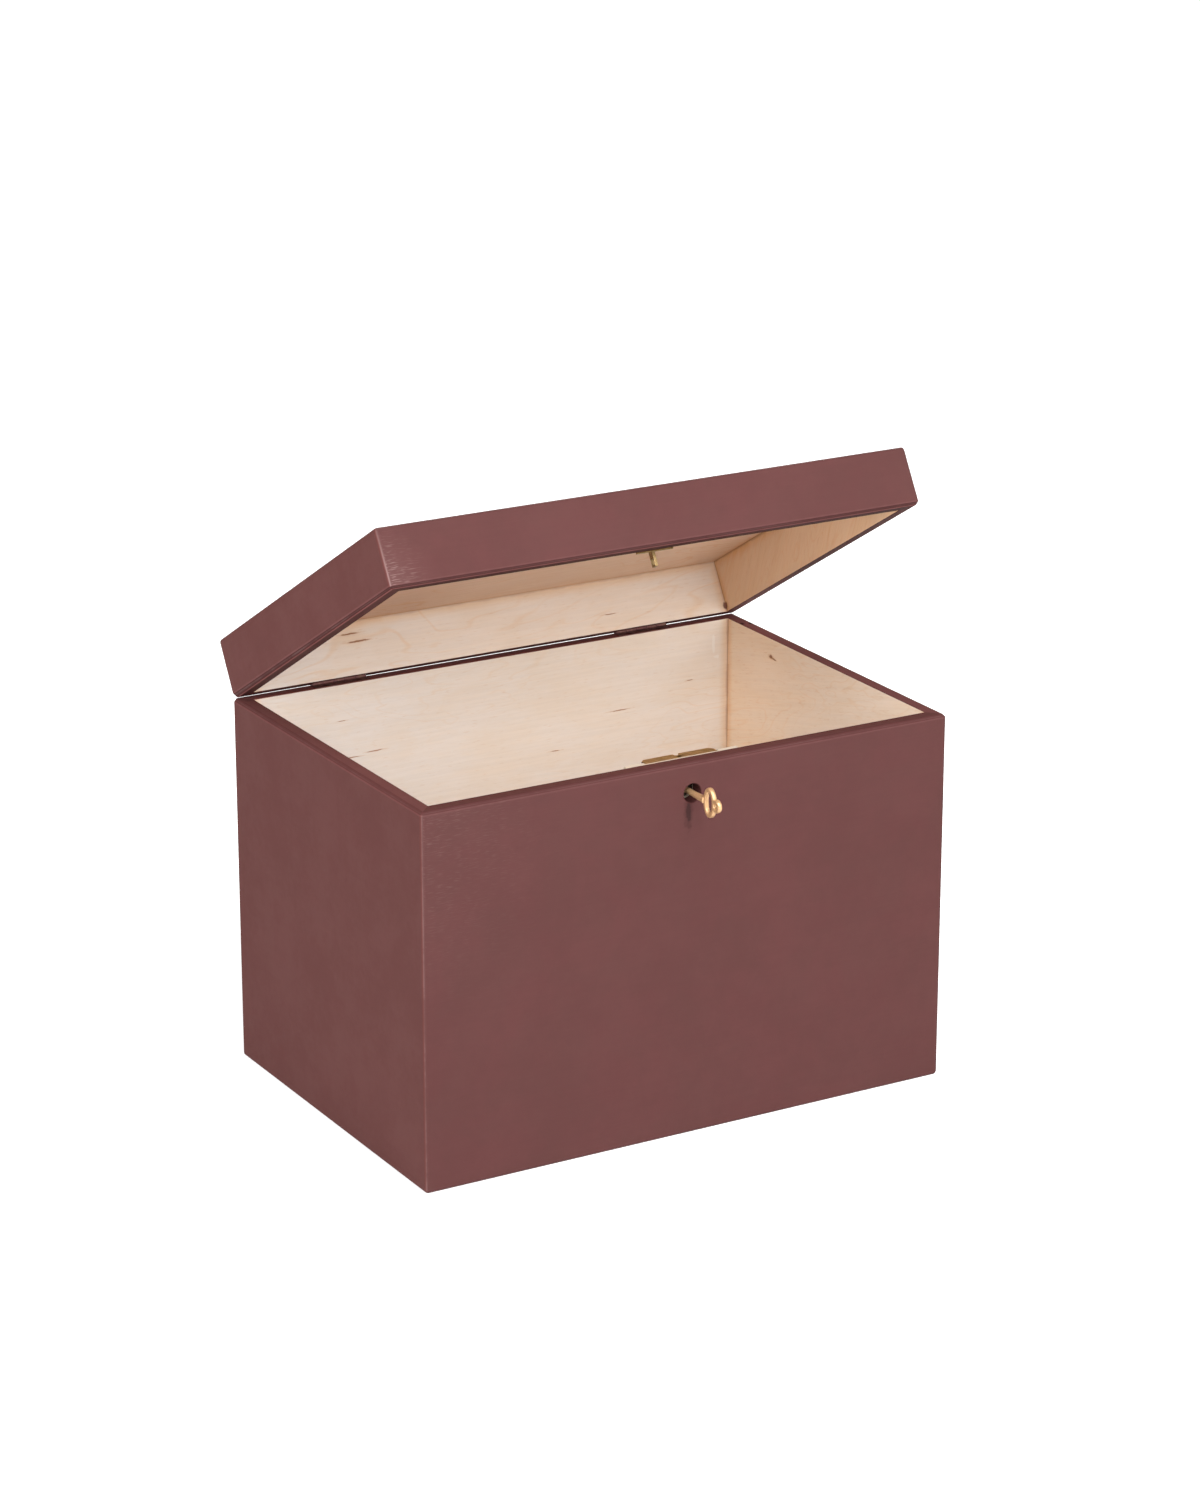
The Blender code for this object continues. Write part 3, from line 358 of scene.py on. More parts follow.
class EnvelopeBoxStudio(bpy.types.PropertyGroup):
    """Camera, lights and floor."""

    camera_place: FloatVectorProperty(
        name="Camera place", description="Where the camera stands", default=(-1.0208, -1.7684, 0.8559),
        subtype="TRANSLATION", size=3,
    )
    camera_turn: FloatProperty(
        name="Camera turn", description="Turn of the camera from +Y towards +X",
        default=radians(30.163), subtype="ANGLE",
    )
    camera_tilt: FloatProperty(
        name="Camera tilt", description="Tilt of the camera below the horizon",
        default=radians(18.64), subtype="ANGLE",
    )
    lens: FloatProperty(name="Lens", description="Focal length in millimetres", default=105.16, min=1.0)
    sky: ratio("Sky", "Strength of the white surroundings", 0.28)
    front: power("Front", "Power of the softbox in front", 73.0)
    front_right: power("Front right", "Power of the softbox at the front right", 77.0)
    front_left: power("Front left", "Power of the softbox beside the camera", 140.0)
    left: power("Left", "Power of the softbox at the left", 172.0)
    high: power("High", "Power of the softbox high in front", 140.0)
    softbox_width: length("Softbox width", "Width of the softboxes", 3.1)
    high_width: length("High width", "Width of the softbox high in front", 1.9)
    floor_lift: ratio("Floor lift", "White added to the floor where the camera sees it", 0.55)


def sizes():
    """The sizes in use."""
    return bpy.context.scene.envelope_box_sizes


def colours():
    """The colours in use."""
    return bpy.context.scene.envelope_box_colours


def studio():
    """The studio's settings in use."""
    return bpy.context.scene.envelope_box_studio


# Node wiring


class Wiring:
    """Adds nodes to the tree of a material or a group and joins them."""

    def __init__(self, tree):
        self.tree = tree

    def node(self, kind, **settings):
        """A new node with its settings."""
        made = self.tree.nodes.new(kind)
        made.location.x = NODE_STEP * len(self.tree.nodes)
        for name, value in settings.items():
            setattr(made, name, value)
        return made

    def feed(self, socket, value):
        """Joins an output to a socket, or sets the socket's own value."""
        if isinstance(value, bpy.types.NodeSocket):
            self.tree.links.new(value, socket)
        else:
            socket.default_value = value

    def math(self, operation, *values):
        """The result of an operation on numbers."""
        made = self.node("ShaderNodeMath", operation=operation)
        for socket, value in zip(made.inputs, values):
            self.feed(socket, value)
        return made.outputs[0]

    def vector_math(self, operation, *values, output="Vector"):
        """The result of an operation on vectors."""
        made = self.node("ShaderNodeVectorMath", operation=operation)
        for socket, value in zip(made.inputs, values):
            self.feed(socket, value)
        return made.outputs[output]

    def ease(self, value, low, high, start=0.0, end=1.0):
        """A smooth step of a value from low to high."""
        made = self.node("ShaderNodeMapRange", interpolation_type="SMOOTHSTEP")
        for socket, given in zip(made.inputs, (value, low, high, start, end)):
            self.feed(socket, given)
        return made.outputs["Result"]

    def spread(self, value, start, end):
        """A value between 0 and 1, eased to run from start to end."""
        return self.ease(value, 0.0, 1.0, start, end)

    def noise(self, vector, scale, detail=2.0, roughness=0.5, distortion=0.0):
        """A noise value between 0 and 1."""
        made = self.node("ShaderNodeTexNoise")
        self.feed(made.inputs["Vector"], vector)
        self.feed(made.inputs["Scale"], scale)
        self.feed(made.inputs["Detail"], detail)
        self.feed(made.inputs["Roughness"], roughness)
        self.feed(made.inputs["Distortion"], distortion)
        return made.outputs["Fac"]

    def blend(self, share, first, second, mode="MIX"):
        """One colour laid over another."""
        made = self.node("ShaderNodeMix", data_type="RGBA", blend_type=mode)
        share_socket, first_socket, second_socket = made.inputs[0], made.inputs[6], made.inputs[7]
        self.feed(share_socket, share)
        self.feed(first_socket, first)
        self.feed(second_socket, second)
        return made.outputs[2]

    def scaled(self, rgb, share):
        """A colour made lighter or darker."""
        made = self.node("ShaderNodeVectorMath", operation="SCALE")
        self.feed(made.inputs["Vector"], rgb)
        self.feed(made.inputs["Scale"], share)
        return made.outputs["Vector"]

    def group(self, tree, **inputs):
        """A node group in use. Its inputs are given by name, with underscores for spaces."""
        made = self.node("ShaderNodeGroup", node_tree=tree)
        for name, value in inputs.items():
            self.feed(made.inputs[name.replace("_", " ")], value)
        return made.outputs

    def split(self, vector):
        """The X, Y and Z of a vector."""
        made = self.node("ShaderNodeSeparateXYZ")
        self.feed(made.inputs[0], vector)
        return made.outputs

    def joined(self, *values):
        """A vector from its X, Y and Z."""
        made = self.node("ShaderNodeCombineXYZ")
        for socket, value in zip(made.inputs, values):
            self.feed(socket, value)
        return made.outputs[0]


def opaque(rgb):
    """A colour with its alpha."""
    return (*rgb, 1.0)


NUMBER = "NodeSocketFloat"
VECTOR = "NodeSocketVector"


def node_group(name, inputs, outputs, wire):
    """A shader node group, built on its first use. wire returns a socket for each output."""
    tree = bpy.data.node_groups.get(name)
    if tree:
        return tree
    tree = bpy.data.node_groups.new(name, "ShaderNodeTree")
    for label, kind in inputs.items():
        tree.interface.new_socket(label, in_out="INPUT", socket_type=kind)
    for label in outputs:
        tree.interface.new_socket(label, in_out="OUTPUT", socket_type=NUMBER)
    wiring = Wiring(tree)
    given = wiring.node("NodeGroupInput")
    made = wire(wiring, given.outputs)
    put = wiring.node("NodeGroupOutput")
    for label, socket in zip(outputs, made):
        wiring.feed(put.inputs[label], socket)
    return tree


# Node groups


def board_grain():
    """Fine lines along X."""

    def wire(wiring, given):
        lines_place = wiring.vector_math("MULTIPLY", given["Vector"], GRAIN_LINES)
        lines = wiring.noise(lines_place, 1.0, detail=3.0, roughness=0.6)
        return (wiring.ease(lines, 0.28, 0.72),)

    return node_group("Board Grain", {"Vector": VECTOR}, ("Lines",), wire)


def mottling():
    """Soft clouds of a stain: how grey and how light it is."""

    def wire(wiring, given):
        grey = wiring.noise(given["Vector"], GREY_CLOUDS, detail=4.0, roughness=0.72, distortion=0.3)
        light_place = wiring.vector_math("ADD", given["Vector"], LIGHT_CLOUDS_SHIFT)
        light = wiring.noise(light_place, LIGHT_CLOUDS, detail=6.0, roughness=0.78)
        return wiring.ease(grey, 0.30, 0.70), wiring.ease(light, 0.30, 0.70)

    return node_group("Mottling", {"Vector": VECTOR}, ("Grey", "Light"), wire)


def edge_distance():
    """How far a point on a box lies from the box's nearest edge."""

    def wire(wiring, given):
        away = wiring.vector_math("SUBTRACT", given["Vector"], given["Middle"])
        depth = wiring.vector_math("SUBTRACT", given["Half"], wiring.vector_math("ABSOLUTE", away))
        x, y, z = wiring.split(depth)
        least = wiring.math("MINIMUM", x, y)
        most = wiring.math("MAXIMUM", x, y)
        return (wiring.math("MAXIMUM", least, wiring.math("MINIMUM", most, z)),)

    inputs = {"Vector": VECTOR, "Middle": VECTOR, "Half": VECTOR}
    return node_group("Edge Distance", inputs, ("Distance",), wire)


def brush_marks():
    """Short dry-brushed dashes along X, in loose clusters."""

    def wire(wiring, given):
        dash_place = wiring.vector_math("MULTIPLY", given["Vector"], BRUSH_DASHES)
        dashes = wiring.ease(wiring.noise(dash_place, 1.0, detail=1.0), 0.50, 0.72)
        clusters = wiring.ease(wiring.noise(given["Vector"], BRUSH_CLUSTERS), 0.30, 0.60, 0.25, 1.0)
        return (wiring.math("MULTIPLY", dashes, clusters),)

    return node_group("Brush Marks", {"Vector": VECTOR}, ("Mask",), wire)


def veneer_figure():
    """Wavy figure, short flecks and warm clouds of birch veneer along X."""

    def wire(wiring, given):
        figure_place = wiring.vector_math("MULTIPLY", given["Vector"], FIGURE_WAVES)
        waves = wiring.noise(figure_place, 1.0, detail=3.0, roughness=0.5, distortion=0.9)
        folded = wiring.math("PINGPONG", wiring.math("MULTIPLY", waves, FIGURE_FOLDS), 0.5)
        patch_place = wiring.vector_math("MULTIPLY", given["Vector"], FIGURE_PATCHES)
        patchy = wiring.noise(patch_place, 1.0)
        bands = wiring.math("MULTIPLY", wiring.ease(folded, 0.36, 0.5), wiring.ease(patchy, 0.36, 0.66))
        fleck_place = wiring.vector_math("MULTIPLY", given["Vector"], BIRCH_FLECKS)
        flecks = wiring.ease(wiring.noise(fleck_place, 1.0, detail=1.0), 0.60, 0.78)
        cloud_place = wiring.vector_math("MULTIPLY", given["Vector"], BIRCH_CLOUDS)
        clouds = wiring.noise(cloud_place, 1.0, detail=4.0, roughness=0.7)
        return bands, flecks, wiring.ease(clouds, 0.32, 0.68)

    return node_group("Veneer Figure", {"Vector": VECTOR}, ("Bands", "Flecks", "Clouds"), wire)


def wood_mark():
    """One dash or knot with a ragged outline."""

    def wire(wiring, given):
        ragged = wiring.node("ShaderNodeTexNoise")
        wiring.feed(ragged.inputs["Vector"], given["Vector"])
        wiring.feed(ragged.inputs["Scale"], MARK_RAGS)
        shift = wiring.vector_math("SUBTRACT", ragged.outputs["Color"], (0.5, 0.5, 0.5))
        away = wiring.vector_math("SUBTRACT", given["Vector"], given["Place"])
        shares = wiring.vector_math("DIVIDE", away, given["Reach"])
        bent = wiring.vector_math("MULTIPLY_ADD", shift, MARK_RAG_SHARES, shares)
        return (wiring.ease(wiring.vector_math("LENGTH", bent, output="Value"), 1.0, 0.55),)

    inputs = {"Vector": VECTOR, "Place": VECTOR, "Reach": VECTOR}
    return node_group("Wood Mark", inputs, ("Mask",), wire)


def tarnish():
    """Clouds of tarnish and fine rubbing lines on metal."""

    def wire(wiring, given):
        clouds = wiring.noise(given["Vector"], TARNISH_CLOUDS, detail=3.0, roughness=0.6)
        rub_place = wiring.vector_math("MULTIPLY", given["Vector"], RUBBING_LINES)
        rubbing = wiring.noise(rub_place, 1.0, detail=2.0)
        return wiring.ease(clouds, 0.42, 0.72), wiring.ease(rubbing, 0.35, 0.65)

    return node_group("Tarnish", {"Vector": VECTOR}, ("Clouds", "Rubbing"), wire)


# Finishes


def new_finish(name, roughness, metallic=0.0, specular=0.5):
    """A material with its wiring and shader. The wiring is None where the material exists already."""
    material = bpy.data.materials.get(name)
    if material:
        return material, None, None
    material = bpy.data.materials.new(name)
    material.use_nodes = True
    shader = material.node_tree.nodes["Principled BSDF"]
    shader.inputs["Roughness"].default_value = roughness
    shader.inputs["Metallic"].default_value = metallic
    shader.inputs["Specular IOR Level"].default_value = specular
    return material, Wiring(material.node_tree), shader


def object_place(wiring):
    """Coordinates in the piece's own frame, in metres."""
    return wiring.node("ShaderNodeTexCoord").outputs["Object"]


def along_grain(wiring, place, along):
    """Coordinates whose X runs along the grain."""
    if along == "X":
        return place
    x, y, z = wiring.split(place)
    return wiring.joined(y, x, z)


def add_bump(wiring, shader, height, depth, strength):
    """Fine relief of a given depth and strength."""
    bump = wiring.node("ShaderNodeBump")
    bump.inputs["Strength"].default_value = strength
    bump.inputs["Distance"].default_value = depth
    wiring.feed(bump.inputs["Height"], height)
    wiring.feed(shader.inputs["Normal"], bump.outputs[0])


def add_marks(wiring, body, place, marks, ink, halo=None):
    """Small marks on a colour, each with a tinted halo if one is given."""
    for spot, reach in marks:
        if halo:
            wide = tuple(MARK_HALO_REACH * size for size in reach)
            ring = wiring.group(wood_mark(), Vector=place, Place=spot, Reach=wide)["Mask"]
            tint = wiring.math("MULTIPLY", ring, MARK_HALO_SHARE)
            body = wiring.blend(tint, body, opaque(halo), "MULTIPLY")
        inked = wiring.group(wood_mark(), Vector=place, Place=spot, Reach=reach)["Mask"]
        body = wiring.blend(wiring.math("MULTIPLY", inked, MARK_INK_SHARE), body, opaque(ink))
    return body


def stain(name, along, middle, half, patches, brush=None, gloss=FACE_GLOSS, specks=(), painted_back_light=1.0):
    """Matte mauve-brown stain on birch.

    patches holds the colours of its redder and its greyer patches. brush is a dry-brushed place with its
    reach and strength. specks are dark marks on the stain: specks on the rims, and on the faces a painted
    shadow below the key. The back lift makes the stain lighter towards the back, where the grain runs along
    Y only on the right: painted light on the rims that the lid shades.
    """
    material, wiring, shader = new_finish(name, roughness=0.62, specular=gloss)
    if not wiring:
        return material
    palette = colours()
    place = object_place(wiring)
    grain_place = along_grain(wiring, place, along)
    clouds = wiring.group(mottling(), Vector=place)
    lines = wiring.group(board_grain(), Vector=grain_place)["Lines"]
    edge = wiring.group(edge_distance(), Vector=place, Middle=middle, Half=half)["Distance"]
    red, grey = patches
    body = wiring.blend(clouds["Grey"], opaque(red), opaque(grey))
    cloud_shade = wiring.spread(clouds["Light"], 0.97, 1.03)
    line_shade = wiring.spread(lines, 0.991, 1.009)
    body = wiring.scaled(body, wiring.math("MULTIPLY", cloud_shade, line_shade))
    # Painted light: the stain gets lighter towards the back, where the lid shades the rims
    if painted_back_light != 1.0:
        x, y, _ = wiring.split(place)
        more = wiring.ease(y, 0.0, INNER_Y, 0.0, painted_back_light - 1.0)
        if along == "Y":
            more = wiring.math("MULTIPLY", more, wiring.ease(x, -OVERRUN, OVERRUN))
        body = wiring.scaled(body, wiring.math("ADD", more, 1.0))
    thin = wiring.ease(clouds["Light"], 0.1, 0.9, 0.10, 0.34)
    bare = wiring.math("MULTIPLY", wiring.ease(edge, *EDGE_WEAR), thin)
    if brush:
        spot, reach, strength = brush
        away = wiring.vector_math("SUBTRACT", place, spot)
        squashed = wiring.vector_math("MULTIPLY", away, BRUSH_SQUASH)
        near = wiring.ease(wiring.vector_math("LENGTH", squashed, output="Value"), reach, 0.0)
        dashes = wiring.group(brush_marks(), Vector=grain_place)["Mask"]
        haze = BRUSH_HAZE * strength
        hazy = wiring.math("MULTIPLY_ADD", dashes, strength - haze, haze)
        brushed = wiring.math("MULTIPLY", hazy, wiring.math("POWER", near, 2.0))
        shown = wiring.math("MULTIPLY", near, strength)
        rubbed = wiring.math("MULTIPLY", wiring.ease(edge, *BRUSHED_WEAR), shown)
        bare = wiring.math("MAXIMUM", wiring.math("MAXIMUM", bare, rubbed), brushed)
    body = wiring.blend(bare, body, opaque(palette.stain_pale))
    body = add_marks(wiring, body, place, specks, palette.speck_and_shade, palette.speck_and_shade_halo)
    wiring.feed(shader.inputs["Base Color"], body)
    wiring.feed(shader.inputs["Roughness"], wiring.spread(clouds["Light"], *STAIN_ROUGHNESS))
    add_bump(wiring, shader, wiring.math("ADD", lines, clouds["Light"]), *WOOD_RELIEF)
    return material


def raw_birch(
    name, along, tone, end_tone=None, hollow=None, seam=0.5,
    marks=(), spots=(), smears=(), figured=0.8, lean=0.0,
):
    """Unfinished birch veneer with its figure, flecks and marks.

    end_tone is the tone towards the left or the back end, if that differs. hollow is the space that the
    veneer lines: its corners are darkened as painted shade, and stain ran into them, and seam says how much.
    spots are spots of stain and smears are pale. figured says how strong the figure is, and lean tilts it.
    """
    material, wiring, shader = new_finish(name, roughness=0.6, specular=BIRCH_GLOSS)
    if not wiring:
        return material
    palette = colours()
    place = object_place(wiring)
    grain_place = along_grain(wiring, place, along)
    if lean:
        x, y, z = wiring.split(grain_place)
        grain_place = wiring.joined(x, y, wiring.math("MULTIPLY_ADD", x, lean, z))
    figure = wiring.group(veneer_figure(), Vector=grain_place)
    lines = wiring.group(board_grain(), Vector=grain_place)["Lines"]
    body = opaque(tone)
    if end_tone:
        x, y, _ = wiring.split(place)
        if along == "X":
            towards_end = wiring.ease(x, END_TONE_START, -INNER_X)
        else:
            towards_end = wiring.ease(y, -END_TONE_START, INNER_Y)
        body = wiring.blend(towards_end, body, opaque(end_tone))
    body = wiring.blend(figure["Clouds"], body, opaque(palette.birch_warm), "MULTIPLY")
    bands = wiring.math("MULTIPLY", figure["Bands"], figured)
    body = wiring.blend(bands, body, opaque(palette.birch_figure_and_shade), "MULTIPLY")
    flecks = wiring.math("MULTIPLY", figure["Flecks"], FLECK_SHARE)
    body = wiring.blend(flecks, body, opaque(palette.birch_fleck), "MULTIPLY")
    body = wiring.scaled(body, wiring.spread(lines, 0.98, 1.02))
    body = add_marks(wiring, body, place, marks, palette.birch_mark, palette.birch_fleck)
    if hollow:
        middle, half = hollow
        corner = wiring.group(edge_distance(), Vector=place, Middle=middle, Half=half)["Distance"]
        # Painted shade: the birch darkens towards the corners inside
        shaded = wiring.ease(corner, CORNER_SHADE, 0.0)
        body = wiring.blend(shaded, body, opaque(palette.birch_figure_and_shade), "MULTIPLY")
        width = wiring.ease(wiring.noise(place, SEEP_WAVES), 0.35, 0.65, *SEEP_WIDTH)
        run = wiring.ease(wiring.math("DIVIDE", corner, width), 1.0, 0.0, 0.0, seam)
        body = wiring.blend(run, body, opaque(palette.seep))
    body = add_marks(wiring, body, place, spots, palette.spot)
    body = add_marks(wiring, body, place, smears, palette.smear)
    wiring.feed(shader.inputs["Base Color"], body)
    wiring.feed(shader.inputs["Roughness"], wiring.spread(lines, *BIRCH_ROUGHNESS))
    add_bump(wiring, shader, wiring.math("SUBTRACT", lines, figure["Flecks"]), *WOOD_RELIEF)
    return material


def metal(name, bright, dull, roughness, rough_spread, metallic):
    """A rubbed metal with clouds of tarnish."""
    material, wiring, shader = new_finish(name, roughness, metallic)
    if not wiring:
        return material
    place = object_place(wiring)
    worn = wiring.group(tarnish(), Vector=place)
    tarnished = wiring.math("MULTIPLY", worn["Clouds"], TARNISH_SHARE)
    wiring.feed(shader.inputs["Base Color"], wiring.blend(tarnished, opaque(bright), opaque(dull)))
    half_clouds = wiring.math("MULTIPLY", worn["Clouds"], 0.5)
    wear = wiring.math("MULTIPLY_ADD", worn["Rubbing"], 0.5, half_clouds)
    wiring.feed(shader.inputs["Roughness"], wiring.spread(wear, roughness, roughness + rough_spread))
    add_bump(wiring, shader, worn["Rubbing"], *METAL_RELIEF)
    return material


def brass():
    """Satin brass of the key."""
    return metal(
        "satin_brass", colours().brass, colours().brass_dull,
        roughness=0.32, rough_spread=0.10, metallic=0.55,
    )


def strike_brass_painted_shade():
    """Brass of the strike, darkened as painted shade on the prong."""
    return metal(
        "strike_brass_painted_shade", colours().strike, colours().strike_dull,
        roughness=0.26, rough_spread=0.16, metallic=1.0,
    )


def lock_brass():
    """Aged brass of the lock and of the lock's and the strike's screws."""
    return metal(
        "aged_brass", colours().lock_brass, colours().lock_dull,
        roughness=0.36, rough_spread=0.16, metallic=1.0,
    )


def painted_shade_metal():
    """Dark metal of the lock's plate below the flange, painted as shade behind the keyhole."""
    return metal(
        "lock_plate_painted_shade", colours().works, colours().works_dull,
        roughness=0.45, rough_spread=0.2, metallic=0.6,
    )


def hinge_metal():
    """Brass of the hinges and their screws, stained with the box."""
    return metal(
        "stained_hinge_brass", colours().hinge, colours().hinge_bare,
        roughness=0.42, rough_spread=0.2, metallic=0.5,
    )


def steel():
    """Steel of the key pin and the spring."""
    return metal(
        "plain_steel", colours().steel, colours().steel_dull,
        roughness=0.28, rough_spread=0.2, metallic=1.0,
    )


# Mesh tools


def collection(name):
    """A collection of the scene, made on its first use."""
    found = bpy.data.collections.get(name)
    if not found:
        found = bpy.data.collections.new(name)
        bpy.context.scene.collection.children.link(found)
    return found


def remove_earlier(name):
    """Removes the object that an earlier call made under a name."""
    earlier = bpy.data.objects.get(name)
    if earlier:
        bpy.data.objects.remove(earlier)


def new_piece(name, bm, *finishes):
    """A mesh object from a bmesh, which is freed. An earlier piece of that name is removed."""
    remove_earlier(name)
    mesh = bpy.data.meshes.new(name)
    bm.to_mesh(mesh)
    bm.free()
    piece = bpy.data.objects.new(name, mesh)
    collection(PIECES).objects.link(piece)
    for finish in finishes:
        mesh.materials.append(finish)
    return piece


def new_cutter(name, bm, finish_index=0):
    """A piece for a Boolean, whose faces take a finish of the piece it shapes."""
    for face in bm.faces:
        face.material_index = finish_index
    return new_piece(name, bm)


def shape(piece, operation, *others):
    """Cuts others out of a piece or joins them to it. The others are removed."""
    for other in others:
        modifier = piece.modifiers.new(other.name, "BOOLEAN")
        modifier.operation = operation
        modifier.solver = "EXACT"
        modifier.object = other
    graph = bpy.context.evaluated_depsgraph_get()
    made = bpy.data.meshes.new_from_object(piece.evaluated_get(graph))
    piece.modifiers.clear()
    plain = piece.data
    piece.data = made
    bpy.data.meshes.remove(plain)
    for other in others:
        bpy.data.objects.remove(other)
    if not made.polygons:
        raise RuntimeError(f"{piece.name} has no faces left after {operation.lower()}")
    return piece


def smooth(piece, softness=0.0):
    """Shades a piece smooth, with its flats kept flat, and rounds its sharp edges where softness is given."""
    if softness:
        bevel = piece.modifiers.new("softened edges", "BEVEL")
        bevel.width = softness
        bevel.segments = BEVEL_STEPS
        bevel.limit_method = "ANGLE"
        bevel.angle_limit = BEVEL_ANGLE
        bevel.use_clamp_overlap = True
    piece.data.shade_smooth()
    piece.data.set_sharp_from_angle(angle=SHARP_ANGLE)
    weighted = piece.modifiers.new("flat faces", "WEIGHTED_NORMAL")
    weighted.weight = WEIGHT_OF_LARGE_FACES
    weighted.keep_sharp = not softness
    return piece


def set_piece(piece, body, slot, *nodes):
    """Sets a finished piece on its body, in the place of the nodes that it stands for."""
    if body == "lid":
        piece.matrix_world = OPENED
    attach(piece, body)
    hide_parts(*nodes)
    return piece


def box_bmesh(low, high, softness=0.0):
    """A box between two corners, with its edges rounded where softness is given."""
    low = Vector(low)
    high = Vector(high)
    bm = bmesh.new()
    bmesh.ops.create_cube(bm, size=1.0)
    bmesh.ops.scale(bm, vec=high - low, verts=bm.verts)
    bmesh.ops.translate(bm, vec=(low + high) / 2, verts=bm.verts)
    if softness:
        bmesh.ops.bevel(
            bm, geom=bm.edges[:], offset=softness, segments=SOFT_STEPS, profile=0.5, affect="EDGES"
        )
    return bm


def turned_bmesh(profile, steps=TURN_STEPS):
    """A shape turned about Z from (radius, height) points."""
    bm = bmesh.new()
    verts = [bm.verts.new((radius, 0.0, height)) for radius, height in profile]
    edges = [bm.edges.new(pair) for pair in zip(verts, verts[1:])]
    bmesh.ops.spin(bm, geom=verts + edges, axis=(0, 0, 1), cent=(0, 0, 0), angle=2 * pi, steps=steps)
    bmesh.ops.remove_doubles(bm, verts=bm.verts, dist=MERGE)
    bmesh.ops.recalc_face_normals(bm, faces=bm.faces)
    return bm


def placed(bm, matrix):
    """Moves a bmesh to its place."""
    bmesh.ops.transform(bm, matrix=matrix, verts=bm.verts)
    return bm


def rod_bmesh(radius, start, end, steps=TURN_STEPS):
    """A straight rod between two points."""
    start = Vector(start)
    run = Vector(end) - start
    turn = run.to_track_quat("Z", "Y").to_matrix().to_4x4()
    profile = [(0.0, 0.0), (radius, 0.0), (radius, run.length), (0.0, run.length)]
    return placed(turned_bmesh(profile, steps), Matrix.Translation(start) @ turn)


def extruded_bmesh(outline, start, end):
    """An outline in the YZ plane, drawn out along X from start to end."""
    bm = bmesh.new()
    face = bm.faces.new([bm.verts.new((start, y, z)) for y, z in outline])
    drawn = bmesh.ops.extrude_face_region(bm, geom=[face])
    moved = [item for item in drawn["geom"] if isinstance(item, bmesh.types.BMVert)]
    bmesh.ops.translate(bm, vec=(end - start, 0, 0), verts=moved)
    bmesh.ops.recalc_face_normals(bm, faces=bm.faces)
    return bm


# Walls of the base and the lid

# Kinds of strips round the walls. Each has a finish for grain along X and then one for grain along Y
KINDS = ("face", "worn", "chamfer", "crest", "flat", "inner")


def softened(corners):
    """Rounds the corners of a section of the walls.

    A corner is (depth from the outer face, height, softness, kind of its rounding, kind of the strip after
    it). The result holds points with the kind of the strip after each.
    """
    outline = []
    for index, (depth, height, softness, rounding, strip) in enumerate(corners):
        corner = Vector((depth, height))
        if not softness:
            outline.append((corner, strip))
            continue
        before = Vector(corners[index - 1][:2]) - corner
        after = Vector(corners[(index + 1) % len(corners)][:2]) - corner
        start = corner + before.normalized() * softness
        end = corner + after.normalized() * softness
        for step in range(SOFT_STEPS + 1):
            share = step / SOFT_STEPS
            point = start.lerp(corner, share).lerp(corner.lerp(end, share), share)
            outline.append((point, strip if step == SOFT_STEPS else rounding))
    return outline


def wall_loop(bm, depth, height):
    """A rounded rectangle at some depth inside the outer faces, anticlockwise seen from above."""
    radius = max(sizes().corner_round - depth, sizes().inner_corner)
    loop = []
    for quarter, (side_x, side_y) in enumerate(((1, 1), (-1, 1), (-1, -1), (1, -1))):
        middle_x = side_x * (HALF_WIDTH - depth - radius)
        middle_y = side_y * (HALF_DEPTH - depth - radius)
        for step in range(CORNER_STEPS + 1):
            angle = pi / 2 * (quarter + step / CORNER_STEPS)
            point = (middle_x + radius * cos(angle), middle_y + radius * sin(angle), height)
            loop.append(bm.verts.new(point))
    return loop


def walls_bmesh(outline, closed):
    """Walls with a given section all the way round.

    The section runs up the outer face. Where it isn't closed, its two ends are capped.
    """
    bm = bmesh.new()
    loops = [wall_loop(bm, depth, height) for (depth, height), _ in outline]
    count = len(loops[0])
    for index, (_, kind) in enumerate(outline):
        if index + 1 == len(outline) and not closed:
            break
        lower = loops[index]
        upper = loops[(index + 1) % len(loops)]
        for here in range(count):
            there = (here + 1) % count
            face = bm.faces.new((lower[here], lower[there], upper[there], upper[here]))
            run = lower[there].co - lower[here].co
            level_top = kind == "face" and abs(upper[here].co.z - lower[here].co.z) < MERGE
            across = 1 if abs(run.y) > abs(run.x) and not level_top else 0
            face.material_index = 2 * KINDS.index(kind) + across
    if not closed:
        ceiling = bm.faces.new(list(reversed(loops[0])))
        ceiling.material_index = 2 * KINDS.index("inner")
        top = bm.faces.new(loops[-1])
        top.material_index = 2 * KINDS.index("face")
    return bm


def fill_back_rim(bm, rim, lip=0.0):
    """Makes a back rim fuller, so that the gap at the hinges is narrow. lip draws the rim down."""
    use = sizes()
    for vertex in bm.verts:
        place = vertex.co
        if place.y < INNER_Y - OVERRUN or abs(place.z - rim) > use.edge_softness:
            continue
        if place.y > HALF_DEPTH - WALL / 2:
            place.y += (use.left_fill if place.x < 0 else use.right_fill) - lip
        place.z -= lip


def lightened(rgb, share):
    """A colour made lighter or darker."""
    return tuple(share * channel for channel in rgb)


